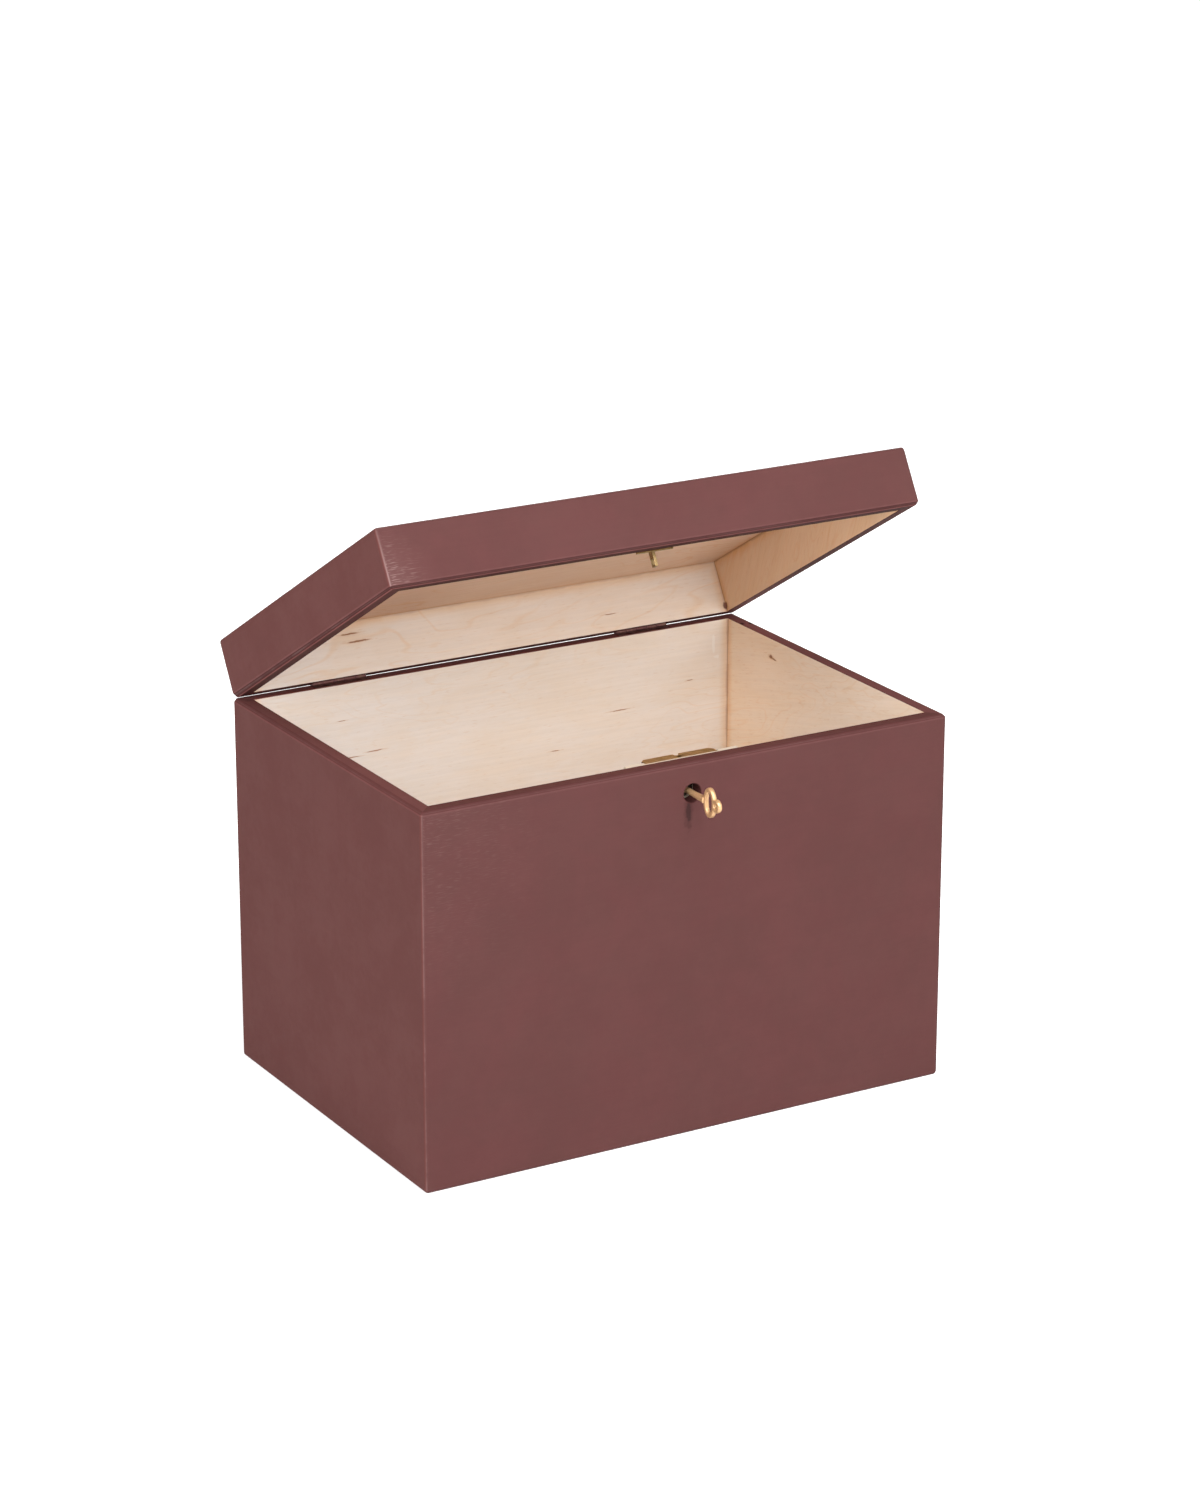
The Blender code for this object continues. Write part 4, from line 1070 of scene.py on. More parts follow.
def stains(part, middle, half, brush, painted_light_shares, specks=(), runs=()):
    """The stains of all kinds but the inner one, each for grain along X and then along Y.

    The shares say how light the stain is on the faces, the chamfers, the flats of the rims and the back flat:
    painted light and shade, with the lid's faces lighter, its downward-facing chamfers and rims darker, and
    the back rims, which the lid shades, lighter. specks are dark specks on these flats, and runs are a
    painted shadow below the key on the faces.
    """
    palette = colours()
    face_painted_light, chamfer_painted_shade, flat_painted_shade, painted_back_light = painted_light_shares
    finishes = []
    for along, red, grey, worn, slope, flat in (
        (
            "X", palette.front_red, palette.front_grey, palette.edge_front, palette.chamfer_front,
            palette.flat_front,
        ),
        (
            "Y", palette.side_red, palette.side_grey, palette.edge_side, palette.chamfer_side,
            palette.flat_side,
        ),
    ):
        # The lid's shares paint light and shade: a lighter face, and darker downward-facing chamfers and rims
        face = (lightened(red, face_painted_light), lightened(grey, face_painted_light))
        edge = [lightened(worn, face_painted_light)] * 2
        chamfer = [lightened(slope, chamfer_painted_shade)] * 2
        # Painted highlight: the lid's rim crest takes the rubbed-thin stain, lifted further
        crest = [lightened(worn, palette.crest_painted_highlight)] * 2
        level = [lightened(flat, flat_painted_shade)] * 2
        brushed = brush if along == "X" else None
        # Painted light: the back rims, and the right rims towards the back, get lighter where the lid shades
        # them
        far_painted_light = painted_back_light if along == "X" else palette.right_rim_painted_light
        finishes.append([
            stain(f"{part}_stain_{along}", along, middle, half, face, brushed, specks=runs),
            stain(f"{part}_worn_{along}", along, middle, half, edge, brushed),
            stain(f"{part}_chamfer_{along}", along, middle, half, chamfer, gloss=RIM_GLOSS),
            stain(f"{part}_crest_{along}", along, middle, half, crest, gloss=RIM_GLOSS),
            stain(
                f"{part}_rim_{along}", along, middle, half, level,
                gloss=RIM_GLOSS, specks=specks, painted_back_light=far_painted_light,
            ),
        ])
    return [finish for pair in zip(*finishes) for finish in pair]


# Finish of the faces that the cutters of the rims and the keyhole leave
CUT_INDEX = 2 * KINDS.index("chamfer")


def hinge_recesses(rim, away):
    """Cutters for the mortises and grooves of both hinges in one rim."""
    use = sizes()
    cutters = []
    for side in ("left", "right"):
        low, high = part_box(f"{side}_hinge_base_leaf")
        radius = high.y - HINGE_AXIS.y + use.seat_gap
        start = low.x - use.seat_gap
        end = high.x + use.seat_gap
        floor = rim + away * (use.leaf_thickness + use.seat_gap)
        open_side = rim - away * OVERRUN
        mortise_low = (start, low.y - use.seat_gap, min(floor, open_side))
        mortise_high = (end, HINGE_AXIS.y, max(floor, open_side))
        groove_start = (start, HINGE_AXIS.y, HINGE_AXIS.z)
        groove_end = (end, HINGE_AXIS.y, HINGE_AXIS.z)
        cutters.append(new_cutter(f"{side}_mortise", box_bmesh(mortise_low, mortise_high), CUT_INDEX))
        cutters.append(new_cutter(f"{side}_groove", rod_bmesh(radius, groove_start, groove_end), CUT_INDEX))
    return cutters


def keyhole_cutter(name, start_y, end_y, flare, finish_index):
    """A cutter for a round keyhole, with its near edge sanded where flare is given."""
    radius = sizes().keyhole_radius
    depth = end_y - start_y
    profile = [
        (0.0, -OVERRUN), (radius + flare, -OVERRUN), (radius + flare, 0.0), (radius + flare / 3, flare / 3),
        (radius, flare), (radius, depth + OVERRUN), (0.0, depth + OVERRUN),
    ]
    place = Matrix.Translation((KEY_AXIS.x, start_y, KEY_AXIS.z)) @ Z_TO_Y
    return new_cutter(name, placed(turned_bmesh(profile), place), finish_index)


class ENVELOPEBOX_OT_base_walls(bpy.types.Operator):
    """Makes the four seamless walls of the base, with the keyhole and the hinge mortises"""

    bl_idname = "envelope_box.base_walls"
    bl_label = "Base walls"

    def execute(self, context):
        use = sizes()
        corners = [
            (0.0, 0.0, use.corner_round, "face", "face"),
            (0.0, BASE_HEIGHT - use.rim_chamfer, use.edge_softness, "worn", "chamfer"),
            (use.rim_chamfer, BASE_HEIGHT, use.edge_softness, "chamfer", "flat"),
            (WALL, BASE_HEIGHT, use.inner_softness, "flat", "inner"),
            (WALL, 0.0, use.inner_softness, "inner", "inner"),
        ]
        # Painted light on the base's back rim, which the lid shades
        painted_light_shares = (1.0, 1.0, 1.0, colours().back_rim_painted_light)
        outside = stains("base", BASE_MIDDLE, BASE_HALF, BASE_BRUSH, painted_light_shares, RIM_SPECKS, KEYHOLE_SHADOW)
        inside = [
            raw_birch(
                "base_birch_X", "X", colours().birch_back, colours().birch_back_left, BASE_HOLLOW,
                marks=BACK_WALL_MARKS, smears=BACK_WALL_SMEARS, figured=0.42,
            ),
            raw_birch(
                "base_birch_Y", "Y", colours().birch_side, colours().birch_side_back, BASE_HOLLOW,
                marks=RIGHT_WALL_MARKS, figured=0.42, lean=0.25,
            ),
        ]
        section = walls_bmesh(softened(corners), closed=True)
        fill_back_rim(section, BASE_HEIGHT)
        walls = new_piece("base_walls", section, *outside, *inside)
        keyhole = keyhole_cutter("keyhole", FRONT, FRONT + WALL, use.keyhole_flare, CUT_INDEX)
        shape(walls, "DIFFERENCE", keyhole, *hinge_recesses(BASE_HEIGHT, -1))
        smooth(walls)
        set_piece(walls, "base", "stained_wood", "front_panel", "back_panel", "left_panel", "right_panel")
        return {"FINISHED"}


class ENVELOPEBOX_OT_lid_shell(bpy.types.Operator):
    """Makes the lid's rails and top as one stained shell, with the hinge mortises"""

    bl_idname = "envelope_box.lid_shell"
    bl_label = "Lid shell"

    def execute(self, context):
        use = sizes()
        corners = [
            (WALL, LID_TOP - use.lid_skin, 0.0, "inner", "inner"),
            (WALL, LID_RIM, use.inner_softness, "flat", "flat"),
            (use.rim_chamfer, LID_RIM, use.edge_softness, "crest", "chamfer"),
            (0.0, LID_RIM + use.rim_chamfer, use.edge_softness, "worn", "face"),
            (0.0, LID_TOP, use.corner_round, "face", "face"),
            (2 * WALL, LID_TOP, 0.0, "face", "face"),
        ]
        palette = colours()
        # Painted light and shade: lighter faces, darker downward-facing rims and chamfers, and a lighter back
        # rim
        painted_light_shares = (palette.lid_painted_light, palette.lid_chamfer_painted_shade, palette.lid_rim_painted_shade, palette.lid_back_rim_painted_light)
        outside = stains("lid", LID_MIDDLE, LID_HALF, LID_BRUSH, painted_light_shares)
        inside = [
            raw_birch(
                "lid_birch_X", "X", palette.birch_lid_back, palette.birch_lid_left, LID_HOLLOW, seam=0.3,
                marks=LID_BACK_MARKS, spots=LID_CORNER_MARKS, figured=0.6,
            ),
            raw_birch(
                "lid_birch_Y", "Y", palette.birch_lid_side, hollow=LID_HOLLOW, spots=LID_CORNER_MARKS,
                figured=0.5, lean=0.9,
            ),
        ]
        walls = walls_bmesh(softened(corners), closed=False)
        fill_back_rim(walls, LID_RIM, use.back_lip)
        shell = new_piece("lid_shell", walls, *outside, *inside)
        shape(shell, "DIFFERENCE", *hinge_recesses(LID_RIM, 1))
        smooth(shell)
        set_piece(
            shell, "lid", "stained_wood", "lid_front_rail", "lid_back_rail", "lid_left_rail", "lid_right_rail"
        )
        return {"FINISHED"}


# Boards and blocks of raw birch


class ENVELOPEBOX_OT_boards(bpy.types.Operator):
    """Makes the bottom board of the base and the board inside the lid's top"""

    bl_idname = "envelope_box.boards"
    bl_label = "Bottom and lid boards"

    def execute(self, context):
        use = sizes()
        finish = raw_birch("bottom_birch", "X", colours().birch_bottom, hollow=BASE_HOLLOW)
        low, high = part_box("bottom_panel")
        bottom = new_piece("bottom_board", box_bmesh(low, high, use.board_softness), finish)
        set_piece(smooth(bottom), "base", "raw_birch", "bottom_panel")
        low, high = shut_box("lid_top_panel")
        high.z = LID_TOP - use.lid_skin - use.seat_gap / 2
        finish = raw_birch(
            "lid_board_birch", "X", colours().birch_board, colours().birch_board_left, LID_HOLLOW, seam=0.3
        )
        ceiling = new_piece("lid_board", box_bmesh(low, high, use.board_softness), finish)
        set_piece(smooth(ceiling), "lid", "raw_birch", "lid_top_panel")
        return {"FINISHED"}


class ENVELOPEBOX_OT_blocks(bpy.types.Operator):
    """Makes the raw blocks behind the lock and the strike"""

    bl_idname = "envelope_box.blocks"
    bl_label = "Lock and strike blocks"

    def execute(self, context):
        use = sizes()
        finish = raw_birch("block_birch", "X", colours().birch_block)
        low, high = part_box("lock_block")
        plate_low, plate_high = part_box("lock_plate")
        block_high = (high.x, low.y + use.block_end, high.z)
        # Painted shade for the upper part of the block's keyhole
        dark = stain(
            "block_keyhole_painted_shade", "X", BASE_MIDDLE, BASE_HALF, [colours().speck_and_shade] * 2, gloss=RIM_GLOSS
        )
        backing = new_piece("lock_backing", box_bmesh(low, block_high, use.board_softness), finish, dark)
        room = box_bmesh(
            (plate_low.x - use.seat_gap, plate_low.y - use.seat_gap / 4, low.z - OVERRUN),
            (plate_high.x + use.seat_gap, plate_high.y, high.z + OVERRUN),
        )
        keyhole = keyhole_cutter("block_keyhole", low.y, high.y, 0.0, 1)
        shape(backing, "DIFFERENCE", new_cutter("plate_room", room), keyhole)
        # Painted shade: the upper part of the block's keyhole takes the dark speck colour, and the rest stays
        # raw birch
        for polygon in backing.data.polygons:
            if polygon.center.z < KEY_AXIS.z - use.keyhole_radius / 2:
                polygon.material_index = 0
        set_piece(smooth(backing), "base", "raw_birch", "lock_block")
        low, high = shut_box("strike_block")
        low.z += 2 * use.seat_gap
        strike_backing = new_piece("strike_backing", box_bmesh(low, high, use.board_softness), finish)
        set_piece(smooth(strike_backing), "lid", "raw_birch", "strike_block")
        return {"FINISHED"}


# Hinges


def curl_outline(low_y, away):
    """Section of a tongue that leaves the leaf and curls round the pin.

    away points from the rim into the wood, and the section is worked out as if that were down.
    """
    use = sizes()
    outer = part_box("left_hinge_base_leaf")[1].y - HINGE_AXIS.y
    inner = use.hinge_pin_radius + use.pin_room
    near = (LID_RIM - BASE_HEIGHT) / 2
    far = near + use.leaf_thickness
    first = pi + asin(far / outer)
    last = 3 * pi + asin((near - use.pin_room) / outer)
    inner_last = pi + asin(near / inner)
    steps = round((last - first) / CURL_STEP)
    points = [(low_y - HINGE_AXIS.y, -far)]
    for step in range(steps + 1):
        angle = first + (last - first) * step / steps
        points.append((outer * cos(angle), outer * sin(angle)))
    for step in range(steps + 1):
        angle = last + (inner_last - last) * step / steps
        points.append((inner * cos(angle), inner * sin(angle)))
    points.append((low_y - HINGE_AXIS.y, -near))
    return [(HINGE_AXIS.y + across, HINGE_AXIS.z - away * rise) for across, rise in points]


def make_leaf(side, body, rim, away, first_knuckle):
    """One leaf of a hinge with every other knuckle."""
    use = sizes()
    node = f"{side}_hinge_{body}_leaf"
    low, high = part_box(f"{side}_hinge_base_leaf")
    root = 2 * HINGE_AXIS.y - high.y - use.seat_gap
    far = rim + away * use.leaf_thickness
    leaf_low = (low.x, low.y, min(rim, far))
    leaf_high = (high.x, root, max(rim, far))
    leaf = new_piece(f"{node}_sheet", box_bmesh(leaf_low, leaf_high), hinge_metal())
    outline = curl_outline(root - use.leaf_thickness, away)
    span = (high.x - low.x + use.seat_gap) / use.knuckle_count
    knuckles = []
    for index in range(first_knuckle, use.knuckle_count, 2):
        start = low.x + index * span
        curl = extruded_bmesh(outline, start, start + span - use.seat_gap)
        knuckles.append(new_cutter(f"{node}_curl_{index}", curl))
    shape(leaf, "UNION", *knuckles)
    smooth(leaf, use.metal_softness / 2)
    set_piece(leaf, body, "hinge_metal", node)


class ENVELOPEBOX_OT_hinges(bpy.types.Operator):
    """Makes the leaves and pins of both hinges"""

    bl_idname = "envelope_box.hinges"
    bl_label = "Hinges"

    def execute(self, context):
        for side in ("left", "right"):
            make_leaf(side, "base", BASE_HEIGHT, -1, 0)
            make_leaf(side, "lid", LID_RIM, 1, 1)
            low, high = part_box(f"{side}_hinge_pin")
            start = (low.x, HINGE_AXIS.y, HINGE_AXIS.z)
            end = (high.x, HINGE_AXIS.y, HINGE_AXIS.z)
            bm = rod_bmesh(sizes().hinge_pin_radius, start, end, SMALL_TURN_STEPS)
            pin = new_piece(f"{side}_hinge_rod", bm, hinge_metal())
            smooth(pin, sizes().metal_softness)
            set_piece(pin, "base", "steel", f"{side}_hinge_pin")
        return {"FINISHED"}


# Screws


def countersunk_profile(head, length):
    """Section of a countersunk screw whose face is at 0."""
    shank = head / 2
    rim = head / 12
    return [
        (0.0, 0.0), (head, 0.0), (head, -rim), (shank, shank - head - rim),
        (shank, -length), (0.0, -length - shank),
    ]


def dome(head, crown):
    """Section of a domed head, down to its rim."""
    angles = [step * pi / (2 * DOME_STEPS) for step in range(DOME_STEPS)]
    return [(head * sin(angle), crown * cos(angle)) for angle in angles] + [(head, 0.0)]


def dome_profile(head, crown, length):
    """Section of a round-headed screw that sits at 0."""
    shank = head / 2
    return dome(head, crown) + [(shank, 0.0), (shank, -length), (0.0, -length - shank)]


def make_screw(node, body, profile, head, top, matrix, slot_turn, finish):
    """A screw with a slot across its head, in the place of a node."""
    use = sizes()
    screw = new_piece(f"{node}_slotted", turned_bmesh(profile, SMALL_TURN_STEPS), finish)
    half = use.screw_slot / 2
    slot_low = (-2 * head, -half, top - use.screw_slot)
    slot_high = (2 * head, half, top + OVERRUN)
    cut = placed(box_bmesh(slot_low, slot_high), Matrix.Rotation(slot_turn, 4, "Z"))
    shape(screw, "DIFFERENCE", new_cutter(f"{node}_slot", cut))
    screw.data.transform(matrix)
    smooth(screw, use.metal_softness / 3)
    set_piece(screw, body, "steel", node)


# Angles at which the screws' slots came to rest
SLOT_TURNS = (0.35, 1.20, -0.60, 2.10)


class ENVELOPEBOX_OT_screws(bpy.types.Operator):
    """Makes the slotted screws of the hinges, the lock and the strike"""

    bl_idname = "envelope_box.screws"
    bl_label = "Screws"

    def execute(self, context):
        for side in ("left", "right"):
            for number in (1, 2):
                for body, box in (("base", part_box), ("lid", shut_box)):
                    node = f"{side}_hinge_{body}_screw_{number}"
                    low, high = box(node)
                    middle = (low + high) / 2
                    head = (high.x - low.x) / 2
                    seat = high.z if body == "base" else low.z
                    flip = Matrix.Rotation(0.0 if body == "base" else pi, 4, "X")
                    matrix = Matrix.Translation((middle.x, middle.y, seat)) @ flip
                    profile = countersunk_profile(head, high.z - low.z - head / 2)
                    make_screw(node, body, profile, head, 0.0, matrix, SLOT_TURNS[number], hinge_metal())
        lock_screws = [(f"lock_screw_{number}", "base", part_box) for number in range(1, 5)]
        strike_screws = [(f"strike_screw_{side}", "lid", shut_box) for side in ("left", "right")]
        for index, (node, body, box) in enumerate(lock_screws + strike_screws):
            low, high = box(node)
            middle = (low + high) / 2
            head = (high.x - low.x) / 2
            crown = head / 2
            matrix = Matrix.Translation((middle.x, high.y - crown, middle.z)) @ Z_TO_Y
            profile = dome_profile(head, crown, high.y - low.y - 2 * crown)
            turn = SLOT_TURNS[index % len(SLOT_TURNS)]
            make_screw(node, body, profile, head, crown, matrix, turn, lock_brass())
        return {"FINISHED"}


# Lock


class ENVELOPEBOX_OT_lock(bpy.types.Operator):
    """Makes the lock's plate with its flange, its case and the works that the case hides"""

    bl_idname = "envelope_box.lock"
    bl_label = "Lock"

    def execute(self, context):
        self.make_plate()
        self.make_case()
        self.make_key_pin()
        for node, finish in (("lock_bolt", lock_brass()), ("lock_spring", steel())):
            carried = frame["nodes"][node]
            carried.data.materials.clear()
            carried.data.materials.append(finish)
        return {"FINISHED"}

    def make_plate(self):
        """A sheet folded over at the top, with holes for the key and the prong."""
        use = sizes()
        low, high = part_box("lock_plate")
        face = low.y + use.sheet
        under = high.z - use.sheet
        top = high.z - use.flange_drop
        back = high.y - use.case_wall
        outline = [(low.y, low.z), (face, low.z), (face, under), (back, under), (back, top), (low.y, top)]
        sheet = extruded_bmesh(outline, low.x, high.x)
        plate = new_piece("lock_plate_folded", sheet, lock_brass(), painted_shade_metal())
        cutters = []
        for side, edge_x in (("left", low.x), ("right", high.x)):
            square = box_bmesh((-1, -1, under - OVERRUN), (1, 1, high.z + OVERRUN))
            diagonal = use.flange_corner / 2**0.5
            bmesh.ops.scale(square, vec=(diagonal, diagonal, 1), verts=square.verts)
            turn = Matrix.Translation((edge_x, back, 0)) @ Matrix.Rotation(pi / 4, 4, "Z")
            cutters.append(new_cutter(f"{side}_flange_corner", placed(square, turn)))
        slot_middle = (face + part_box("lock_case")[1].y - use.case_wall) / 2
        prong_half = use.prong_width / 2 + use.prong_room
        prong_reach = use.prong_depth / 2 + use.seat_gap
        cutters.append(new_cutter("prong_slot", box_bmesh(
            (-prong_half, slot_middle - prong_reach, under - OVERRUN),
            (prong_half, back + OVERRUN, high.z + OVERRUN),
        )))
        hole_start = (KEY_AXIS.x, low.y - OVERRUN, KEY_AXIS.z)
        hole_end = (KEY_AXIS.x, face + OVERRUN, KEY_AXIS.z)
        hole = rod_bmesh(use.shank_radius + use.seat_gap, hole_start, hole_end)
        cutters.append(new_cutter("plate_keyhole", hole))
        bit_half = use.bit_thickness / 2 + use.seat_gap
        bit_reach = use.bit_reach + use.seat_gap
        cutters.append(new_cutter("plate_bit_slot", box_bmesh(
            (-bit_half, low.y - OVERRUN, KEY_AXIS.z - bit_reach), (bit_half, face + OVERRUN, KEY_AXIS.z)
        )))
        shape(plate, "DIFFERENCE", *cutters)
        # Only the flange is bright, and the sheet below it is painted dark as shade behind the keyhole
        for polygon in plate.data.polygons:
            polygon.material_index = 1 if polygon.center.z < under - use.metal_softness else 0
        smooth(plate, use.metal_softness)
        set_piece(plate, "base", "brass", "lock_plate")

    def make_case(self):
        """A pressed cover over the works, open towards the plate."""
        use = sizes()
        low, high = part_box("lock_case")
        case_low = (low.x, low.y - use.case_round, low.z)
        case_high = (high.x, high.y, high.z + use.case_round)
        cover = box_bmesh(case_low, case_high, use.case_round)
        case = new_piece("lock_case_pressed", cover, lock_brass())
        wall = use.case_wall
        hollow_low = (low.x + wall, low.y - 2 * use.case_round, low.z + wall)
        hollow_high = (high.x - wall, high.y - wall, high.z + 2 * use.case_round)
        hollow = new_cutter("case_hollow", box_bmesh(hollow_low, hollow_high, use.case_round - wall))
        wide = OVERRUN * 5
        plate_side = new_cutter("case_plate_side", box_bmesh(
            (low.x - wide, low.y - wide, low.z - wide), (high.x + wide, low.y, high.z + wide)
        ))
        top_side = new_cutter("case_top_side", box_bmesh(
            (low.x - wide, low.y - wide, high.z), (high.x + wide, high.y + wide, high.z + wide)
        ))
        shape(case, "DIFFERENCE", hollow, plate_side, top_side)
        smooth(case, use.metal_softness / 2)
        set_piece(case, "base", "brass", "lock_case")

    def make_key_pin(self):
        """The pin that the key turns on, riveted through the case."""
        low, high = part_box("lock_key_pin")
        head = (high.x - low.x) / 2
        shank = head / 2
        crown = high.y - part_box("lock_case")[1].y - sizes().seat_gap
        end = low.y - high.y + crown
        tail = [(shank, 0.0), (shank, end + shank / 2), (shank / 2, end), (0.0, end)]
        place = Matrix.Translation((KEY_AXIS.x, high.y - crown, KEY_AXIS.z)) @ Z_TO_Y
        rivet = placed(turned_bmesh(dome(head, crown) + tail, SMALL_TURN_STEPS), place)
        pin = new_piece("lock_key_pin_riveted", rivet, steel())
        set_piece(smooth(pin), "base", "steel", "lock_key_pin")


class ENVELOPEBOX_OT_strike(bpy.types.Operator):
    """Makes the strike in the lid: a plate with the prong that the bolt catches"""

    bl_idname = "envelope_box.strike"
    bl_label = "Strike"

    def execute(self, context):
        use = sizes()
        low, high = shut_box("strike_plate")
        face = low.y + use.sheet
        plate_low = (low.x, low.y, LID_RIM - use.seat_gap)
        plate_high = (high.x, face, high.z)
        plate = new_piece("strike_plate_pronged", box_bmesh(plate_low, plate_high), strike_brass_painted_shade())
        prong_half = use.prong_width / 2
        near = high.y - use.prong_depth
        root = new_cutter("prong_root", box_bmesh(
            (-prong_half, low.y + use.sheet / 2, LID_RIM), (prong_half, high.y, high.z - use.sheet)
        ))
        prong = new_cutter("prong", box_bmesh(
            (-prong_half, near, low.z), (prong_half, high.y, LID_RIM + use.sheet)
        ))
        shape(plate, "UNION", root, prong)
        eye_sill = low.z + use.eye_bar
        eye = new_cutter("prong_eye", box_bmesh(
            (-prong_half - OVERRUN, near + use.eye_cheek, eye_sill),
            (prong_half + OVERRUN, high.y - use.eye_cheek, eye_sill + use.eye_height),
        ))
        shape(plate, "DIFFERENCE", eye)
        smooth(plate, use.metal_softness)
        set_piece(plate, "lid", "brass", "strike_plate")
        return {"FINISHED"}


# Key


def ring_bmesh(middle_y, half_length, half_height):
    """An oval ring of flattened wire in the YZ plane, centred on the key's axis."""
    use = sizes()
    bm = bmesh.new()
    loops = []
    for step in range(RING_STEPS):
        angle = 2 * pi * step / RING_STEPS
        run = half_length - use.bow_width / 2
        rise = half_height - use.bow_width / 2
        centre = Vector((KEY_AXIS.x, middle_y + run * cos(angle), KEY_AXIS.z + rise * sin(angle)))
        outward = Vector((0, cos(angle) / run, sin(angle) / rise)).normalized()
        loop = []
        for part in range(SECTION_STEPS):
            turn = 2 * pi * part / SECTION_STEPS
            wide = copysign(abs(cos(turn)) ** use.bow_squareness, cos(turn))
            thick = copysign(abs(sin(turn)) ** use.bow_squareness, sin(turn))
            sideways = Vector((thick * use.bow_thickness / 2, 0, 0))
            loop.append(bm.verts.new(centre + outward * wide * use.bow_width / 2 + sideways))
        loops.append(loop)
    for index, loop in enumerate(loops):
        following = loops[(index + 1) % RING_STEPS]
        for part in range(SECTION_STEPS):
            beside = (part + 1) % SECTION_STEPS
            bm.faces.new((loop[part], loop[beside], following[beside], following[part]))
    bmesh.ops.recalc_face_normals(bm, faces=bm.faces)
    return bm


class ENVELOPEBOX_OT_key(bpy.types.Operator):
    """Makes the key: hollow shank, bit and a bow of two rings"""

    bl_idname = "envelope_box.key"
    bl_label = "Key"

    def execute(self, context):
        use = sizes()
        low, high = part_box("key")
        ring_end = low.y
        ring_middle = ring_end + use.tip_ring_radius
        bow_end = ring_middle + use.tip_ring_radius - use.bow_width
        bow_middle = bow_end + use.bow_length / 2
        bow_start = bow_end + use.bow_length
        shank = use.shank_radius
        neck = use.neck_radius
        bore = use.hinge_pin_radius + use.pin_room
        tip = high.y
        soft = use.seat_gap
        profile = [
            (0.0, tip - use.bore_depth), (bore, tip - use.bore_depth), (bore, tip), (shank - soft / 2, tip),
            (shank, tip - soft), (shank, FRONT - 2 * shank), (neck, bow_start + soft),
            (neck, bow_start - soft), (0.0, bow_start - neck),
        ]
        place = Matrix.Translation((KEY_AXIS.x, 0, KEY_AXIS.z)) @ Z_TO_Y
        key = new_piece("key_turned", placed(turned_bmesh(profile, SMALL_TURN_STEPS), place), brass())
        bit_half = use.bit_thickness / 2
        bit = new_cutter("key_bit", box_bmesh(
            (-bit_half, tip - use.bit_length, KEY_AXIS.z - use.bit_reach),
            (bit_half, tip - 2 * soft, KEY_AXIS.z - shank / 2),
        ))
        bow = new_cutter("key_bow", ring_bmesh(bow_middle, use.bow_length / 2, use.bow_height / 2))
        ring = ring_bmesh(ring_middle, use.tip_ring_radius, use.tip_ring_radius)
        tip_ring = new_cutter("key_tip_ring", ring)
        shape(key, "UNION", bit, bow, tip_ring)
        smooth(key)
        set_piece(key, "key", "brass", "key")
        return {"FINISHED"}


# Studio


def add_to_studio(name, data):
    """An object of the studio. An earlier one of that name is removed."""
    remove_earlier(name)
    obj = bpy.data.objects.new(name, data)
    collection(STUDIO).objects.link(obj)
    return obj


def aim(obj, place, target):
    """Puts a light in its place, facing a point."""
    obj.location = place
    obj.rotation_euler = (Vector(target) - Vector(place)).to_track_quat("-Z", "Y").to_euler()


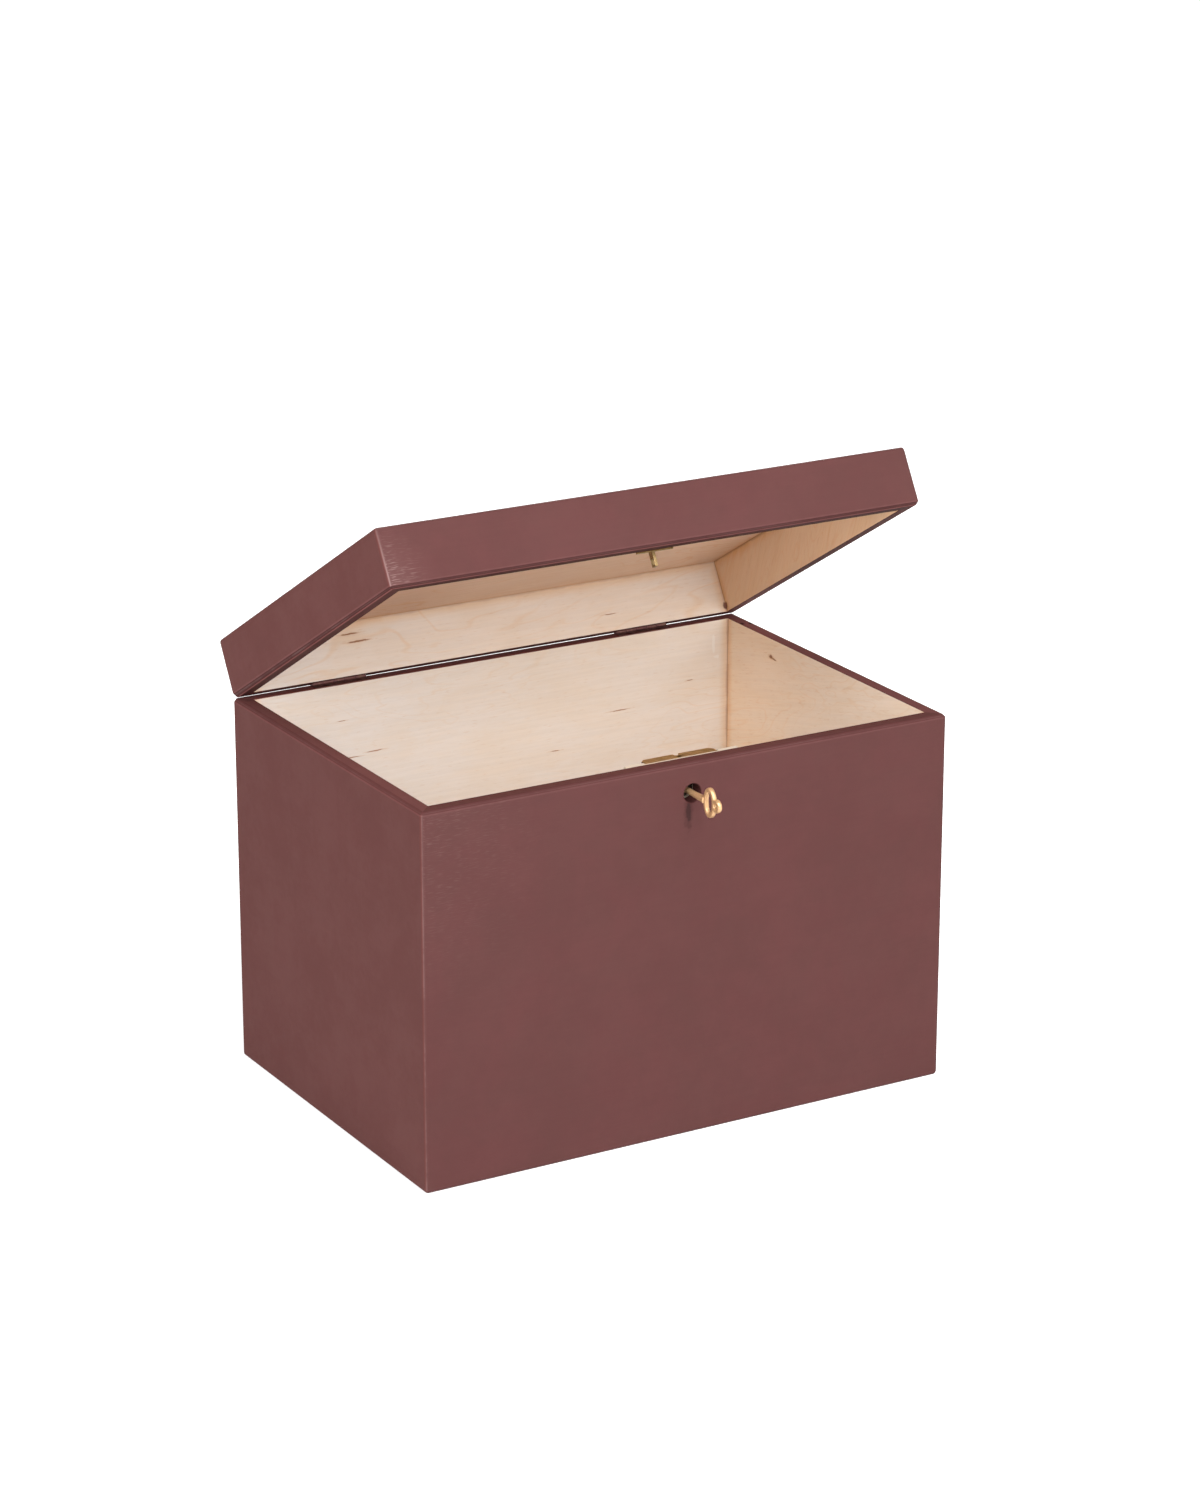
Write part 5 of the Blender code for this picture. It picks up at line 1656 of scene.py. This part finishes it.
class ENVELOPEBOX_OT_stage(bpy.types.Operator):
    """Sets up the pale floor, the soft lights and the camera"""

    bl_idname = "envelope_box.stage"
    bl_label = "Stage"

    def execute(self, context):
        self.make_floor()
        self.make_lights()
        self.make_camera(context.scene)
        context.scene.view_settings.view_transform = "Standard"
        return {"FINISHED"}

    def make_floor(self):
        """A wide pale floor just under the box."""
        half = 12.0
        drop = 0.0002
        bm = bmesh.new()
        bmesh.ops.create_grid(bm, x_segments=1, y_segments=1, size=half)
        mesh = bpy.data.meshes.new("floor")
        bm.to_mesh(mesh)
        bm.free()
        floor = add_to_studio("floor", mesh)
        floor.location.z = -drop
        material, wiring, shader = new_finish("pale_floor", 0.9, specular=0.0)
        if wiring:
            shader.inputs["Base Color"].default_value = opaque(colours().floor)
            seen = wiring.node("ShaderNodeLightPath").outputs["Is Camera Ray"]
            wiring.feed(shader.inputs["Emission Color"], seen)
            shader.inputs["Emission Strength"].default_value = studio().floor_lift
        mesh.materials.append(material)

    def make_lights(self):
        """White surroundings and softboxes round the front."""
        world = bpy.data.worlds.new("studio_white")
        bpy.context.scene.world = world
        world.use_nodes = True
        background = world.node_tree.nodes["Background"]
        background.inputs["Color"].default_value = (1.0, 1.0, 1.0, 1.0)
        background.inputs["Strength"].default_value = studio().sky
        target = (0, 0, BASE_HEIGHT)
        wide = studio().softbox_width
        lights = (
            ("front_softbox", studio().front, wide, (0.0, -4.8, 1.8)),
            ("front_right_softbox", studio().front_right, wide, (2.6, -4.2, 2.0)),
            ("front_left_softbox", studio().front_left, wide, (-2.2, -4.2, 2.7)),
            ("left_softbox", studio().left, wide, (-4.8, -0.6, 2.5)),
            ("high_softbox", studio().high, studio().high_width, (0.0, -2.6, 3.3)),
        )
        for name, watts, width, place in lights:
            light = bpy.data.lights.new(name, "AREA")
            light.shape = "SQUARE"
            light.energy = watts
            light.size = width
            aim(add_to_studio(name, light), place, target)

    def make_camera(self, scene):
        """The camera at the photograph's viewing angle."""
        data = bpy.data.cameras.new("photo_camera")
        data.sensor_width = 36.0
        data.lens = studio().lens
        camera = add_to_studio("photo_camera", data)
        camera.location = studio().camera_place
        camera.rotation_euler = (pi / 2 - studio().camera_tilt, 0, -studio().camera_turn)
        scene.camera = camera


# Panel and registration

OPERATORS = (
    ENVELOPEBOX_OT_base_walls,
    ENVELOPEBOX_OT_lid_shell,
    ENVELOPEBOX_OT_boards,
    ENVELOPEBOX_OT_blocks,
    ENVELOPEBOX_OT_hinges,
    ENVELOPEBOX_OT_screws,
    ENVELOPEBOX_OT_lock,
    ENVELOPEBOX_OT_strike,
    ENVELOPEBOX_OT_key,
    ENVELOPEBOX_OT_stage,
)
SETTINGS = {
    "envelope_box_sizes": EnvelopeBoxSizes,
    "envelope_box_colours": EnvelopeBoxColours,
    "envelope_box_studio": EnvelopeBoxStudio,
}


class ENVELOPEBOX_PT_panel(bpy.types.Panel):
    """Lists the box's pieces and settings"""

    bl_idname = "ENVELOPEBOX_PT_panel"
    bl_label = "Envelope Box"
    bl_space_type = "VIEW_3D"
    bl_region_type = "UI"
    bl_category = "Envelope Box"

    def draw(self, context):
        for operator in OPERATORS:
            self.layout.operator(operator.bl_idname)
        for attribute, group in SETTINGS.items():
            self.layout.separator()
            for name in group.__annotations__:
                self.layout.prop(getattr(context.scene, attribute), name)


CLASSES = (*SETTINGS.values(), *OPERATORS, ENVELOPEBOX_PT_panel)


def register():
    """Registers the classes and the scene's settings."""
    for cls in CLASSES:
        bpy.utils.register_class(cls)
    for attribute, group in SETTINGS.items():
        setattr(bpy.types.Scene, attribute, PointerProperty(type=group))


def unregister():
    """Undoes register."""
    for attribute in SETTINGS:
        delattr(bpy.types.Scene, attribute)
    for cls in reversed(CLASSES):
        bpy.utils.unregister_class(cls)


def main():
    """Dresses the whole box."""
    register()
    bpy.ops.envelope_box.base_walls()
    bpy.ops.envelope_box.lid_shell()
    bpy.ops.envelope_box.boards()
    bpy.ops.envelope_box.blocks()
    bpy.ops.envelope_box.hinges()
    bpy.ops.envelope_box.screws()
    bpy.ops.envelope_box.lock()
    bpy.ops.envelope_box.strike()
    bpy.ops.envelope_box.key()
    bpy.ops.envelope_box.stage()


if __name__ == "__main__":
    main()
